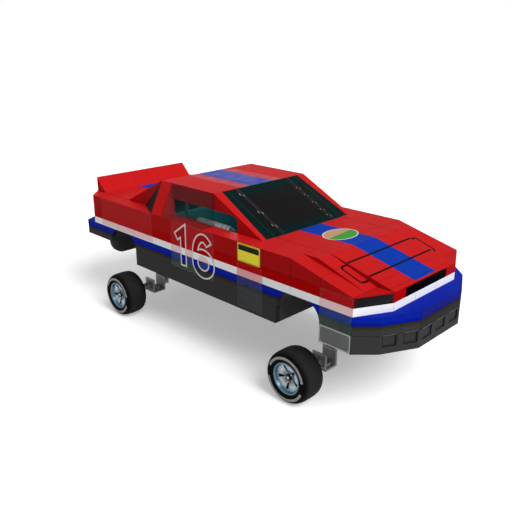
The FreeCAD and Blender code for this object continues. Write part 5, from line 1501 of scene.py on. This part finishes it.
grip_turns = [k * math.pi / 12 for k in range(24)]
grip = [(GRIP * math.sin(turn), WHEEL_RADIUS + GRIP * math.cos(turn)) for turn in grip_turns]
parts = [stand(lathe(grip, 120), WHEEL_CENTRE, COLUMN)]
for index in range(STITCHES):
    turn = turned(facing_driver, 360 / STITCHES * (index + 0.5))
    on_grip = moved(turn, -0.0035, WHEEL_RADIUS - GRIP - 0.0006)
    stitch = plate(rounded_box(0.0012, 0.0070, 0.0005, 2), 0.0012, turned(on_grip, 62, "X"))
    parts.append(painted(stitch, thread))
SPOKE_OUTER = ((0.020, 0.021), (0.020, -0.021), (0.090, -0.015), (0.169, -0.020), (0.169, 0.020),
               (0.090, 0.015))
SPOKE_INNER = ((0.046, 0.009), (0.046, -0.009), (0.090, -0.008), (0.145, -0.009), (0.145, 0.009),
               (0.090, 0.008))
for degrees in (90, 210, 330):
    turn = turned(facing_driver, degrees)
    parts.append(painted(frame_strip(SPOKE_OUTER, SPOKE_INNER, 0.0045, moved(turn, -0.002)), spoke_alloy))
    parts.append(bolt(turn @ Vector((0.033, 0, 0.0024)), 0.004, 0.002, 12, zinc_steel, axis=COLUMN))
parts.append(bolt(WHEEL_CENTRE - COLUMN * 0.006, 0.042, 0.009, 40, spoke_alloy, axis=COLUMN))
parts.append(bolt(WHEEL_CENTRE, 0.024, 0.009, 32, black_rubber, axis=COLUMN))
wheel = link_piece("suede_steering_wheel", parts, suede, "steering_wheel", 40)
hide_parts("steering_wheel")
print(STITCHES, "stitches")

# %% [markdown]
# ## Gauges
# Six round gauges stand on the slope of the dash. Each is a turned bezel round a flat dial, with ticks, a
# needle and no words.

# %% Make the gauges
DASH_SLOPE = Vector((0.058, 0, 0.160)).normalized()
DIALS = ((0.380, 0.050), (0.265, 0.036), (0.495, 0.036), (0.175, 0.030), (0.585, 0.030), (0.100, 0.030))
TICKS = 11
dial_black = simple_finish("matt_black_dial", "#060606", "#0a0a0a", 30, 2, 0.01, (0.6, 0.7))
dial_white = simple_finish("screen_printed_white_ink", "#c9c9c4", "#d6d6d2", 30, 2, 0.01, (0.5, 0.6))
gauges = []
for y, radius in DIALS:
    spot = Vector((0.475, y, 1.330)) + DASH_SLOPE * 0.088
    face = axes_at(spot, (0, -1, 0), DASH_SLOPE)
    bezel = [(0, radius), (0.008, radius), (0.010, radius - 0.002), (0.008, radius - 0.005),
             (0.001, radius - 0.006), (0.001, 0.0005)]
    gauges.append(stand(lathe(bezel, 48, closed=False), spot, face.to_3x3().col[2]))
    mark = rounded_box(radius * 0.16, 0.0016, 0.0005, 2)
    for tick in range(TICKS):
        here = moved(turned(face, 225 - 27 * tick), 0.0012, radius * 0.72)
        gauges.append(painted(plate(mark, 0.0006, here), dial_white))
    needle = rounded_box(radius * 0.8, 0.0020, 0.0008, 2)
    here = moved(turned(face, 200), 0.003, radius * 0.25)
    gauges.append(painted(plate(needle, 0.0010, here), yellow_paint))
link_piece("dash_gauges", gauges, dial_black)
print(len(DIALS), "gauges")

# %% [markdown]
# ## Under the bonnet
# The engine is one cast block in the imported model. Here it gets finned covers, an air cleaner and exhaust
# headers on each side. A header is thin steel tube, which heat tints brown and straw.

# %% Dress the engine
ENGINE_TOP, ENGINE_FRONT, ENGINE_MIDDLE = 1.430, 1.560, 1.225
COVER_Y, COVER_STEPS = 0.205, ((0.560, 0.150, 0.030), (0.500, 0.100, 0.008))
crinkle_red = simple_finish("crinkle_finish_cover_paint", "#7b1010", "#8b1717", 70, 2.2, 0.3, (0.5, 0.65))
header_steel = simple_finish("heat_tinted_steel_header", "#6b5f52", "#8b7f6c", 60, 3, 0.05, (0.35, 0.55),
                             metallic=0.9)
parts = []
for hand, side in SIDES:
    for level, (width, height, thick) in enumerate(COVER_STEPS):
        here = axes_at((ENGINE_MIDDLE, side * COVER_Y, ENGINE_TOP + 0.030 * level), AHEAD, LEFT)
        parts.append(painted(plate(rounded_box(width, height, 0.02), thick, here, 0.004), crinkle_red))
    for index in range(9):
        x = ENGINE_MIDDLE - 0.200 + 0.050 * index
        here = axes_at((x, side * COVER_Y, ENGINE_TOP + 0.038), AHEAD, LEFT)
        parts.append(painted(plate(rounded_box(0.005, 0.090, 0.002, 2), 0.007, here), shell_alloy))
    for index in range(4):
        x = 1.010 + 0.140 * index
        run = [(x, side * 0.295, 1.330), (x, side * 0.350, 1.330), (x - 0.04, side * 0.362, 1.235),
               (0.905, side * 0.362, 1.225)]
        parts.append(painted(tube_mesh(bent(run, 0.03, 5), 0.017, 16), header_steel))
cleaner = lathe([(0, 0.0005), (0, 0.105), (0.004, 0.110), (0.038, 0.110), (0.042, 0.118), (0.046, 0.112),
                 (0.046, 0.0005)], 72, closed=False)
parts.append(painted(stand(cleaner, (ENGINE_MIDDLE, 0, ENGINE_TOP), UP), shell_alloy))
print(len(parts), "parts on the engine")

# %% [markdown]
# Three pulleys turn at the engine's front. Their belt is pulled tight, so its line is the convex hull of
# their rims.

# %% Fit the pulleys and the belt
PULLEYS = ((0.0, 1.300, 0.052), (0.165, 1.360, 0.036), (-0.165, 1.350, 0.040))
BELT_SINK, BELT_THICKNESS = 0.004, 0.005
belt_points = []
for y, z, radius in PULLEYS:
    groove = radius - 0.006
    profile = [(0, 0.0005), (0, radius), (0.006, radius), (0.008, groove), (0.022, groove), (0.024, radius),
               (0.030, radius), (0.030, radius * 0.6), (0.022, radius * 0.5), (0.022, 0.0005)]
    pulley = lathe(profile, 48, closed=False)
    parts.append(painted(stand(pulley, (ENGINE_FRONT, y, z), AHEAD), zinc_steel))
    reach = radius - BELT_SINK
    belt_points += [Vector(point) for point in oval(y, z, reach, reach, 0, 360, 32)[:-1]]
hull = [belt_points[index] for index in geometry.convex_hull_2d(belt_points)]
middle = sum(hull, Vector((0, 0))) / len(hull)
outside = [tuple(point + (point - middle).normalized() * BELT_THICKNESS) for point in hull]
here = axes_at((ENGINE_FRONT + 0.0085, 0, 0), LEFT, UP)
parts.append(painted(frame_strip(outside, [tuple(point) for point in hull], 0.013, here), black_rubber))
link_piece("engine_dress", parts, cast_iron, smooth_under=40)
print(len(hull), "points round the belt")

# %% [markdown]
# The radiator stands on the arch panel: a finned core between two end tanks. Two moulded hoses join it to
# the engine, one high and one low, and their runs are bent as the mould makes them.

# %% Fit the radiator and its hoses
CORE_ROWS = 60
core_alloy = simple_finish("radiator_core_aluminium", "#2c2e2f", "#4a4d4f", 4, 1.2, 0.3, (0.5, 0.65),
                           metallic=0.6)
parts = [plate(rounded_box(0.560, 0.160, 0.004, 2), 0.036, axes_at((2.085, 0, 1.252), LEFT, UP))]
for hand, side in SIDES:
    here = axes_at((2.080, side * 0.298, 1.250), LEFT, UP)
    parts.append(painted(plate(rounded_box(0.060, 0.170, 0.012), 0.048, here, 0.004), shell_alloy))
for index in range(CORE_ROWS):
    here = axes_at((2.120, 0, 1.176 + 0.0026 * index), LEFT, UP)
    parts.append(painted(plate(rounded_box(0.555, 0.0010, 0.0003, 1), 0.002, here), zinc_steel))
link_piece("radiator", parts, core_alloy, smooth_under=40)

HOSES = {
    "upper": ((2.085, 0.290, 1.305), (1.95, 0.290, 1.305), (1.75, 0.06, 1.360), (1.555, 0.06, 1.395)),
    "lower": ((2.085, -0.290, 1.215), (1.92, -0.290, 1.215), (1.75, -0.10, 1.23), (1.555, -0.08, 1.25)),
}
for name, run in HOSES.items():
    hose = tube_mesh(bent(run, 0.08), 0.019, 20)
    link_piece(f"radiator_hose_{name}", [hose], black_rubber, smooth_under=60)
print("engine bay done")

# %% [markdown]
# ## Bounds
# The visual model's box is printed. The visual model has to stay inside the imported model's box.

# %% Print the visual box
low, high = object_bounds()
print("visual box", [round(v, 3) for v in (*low, *high)])
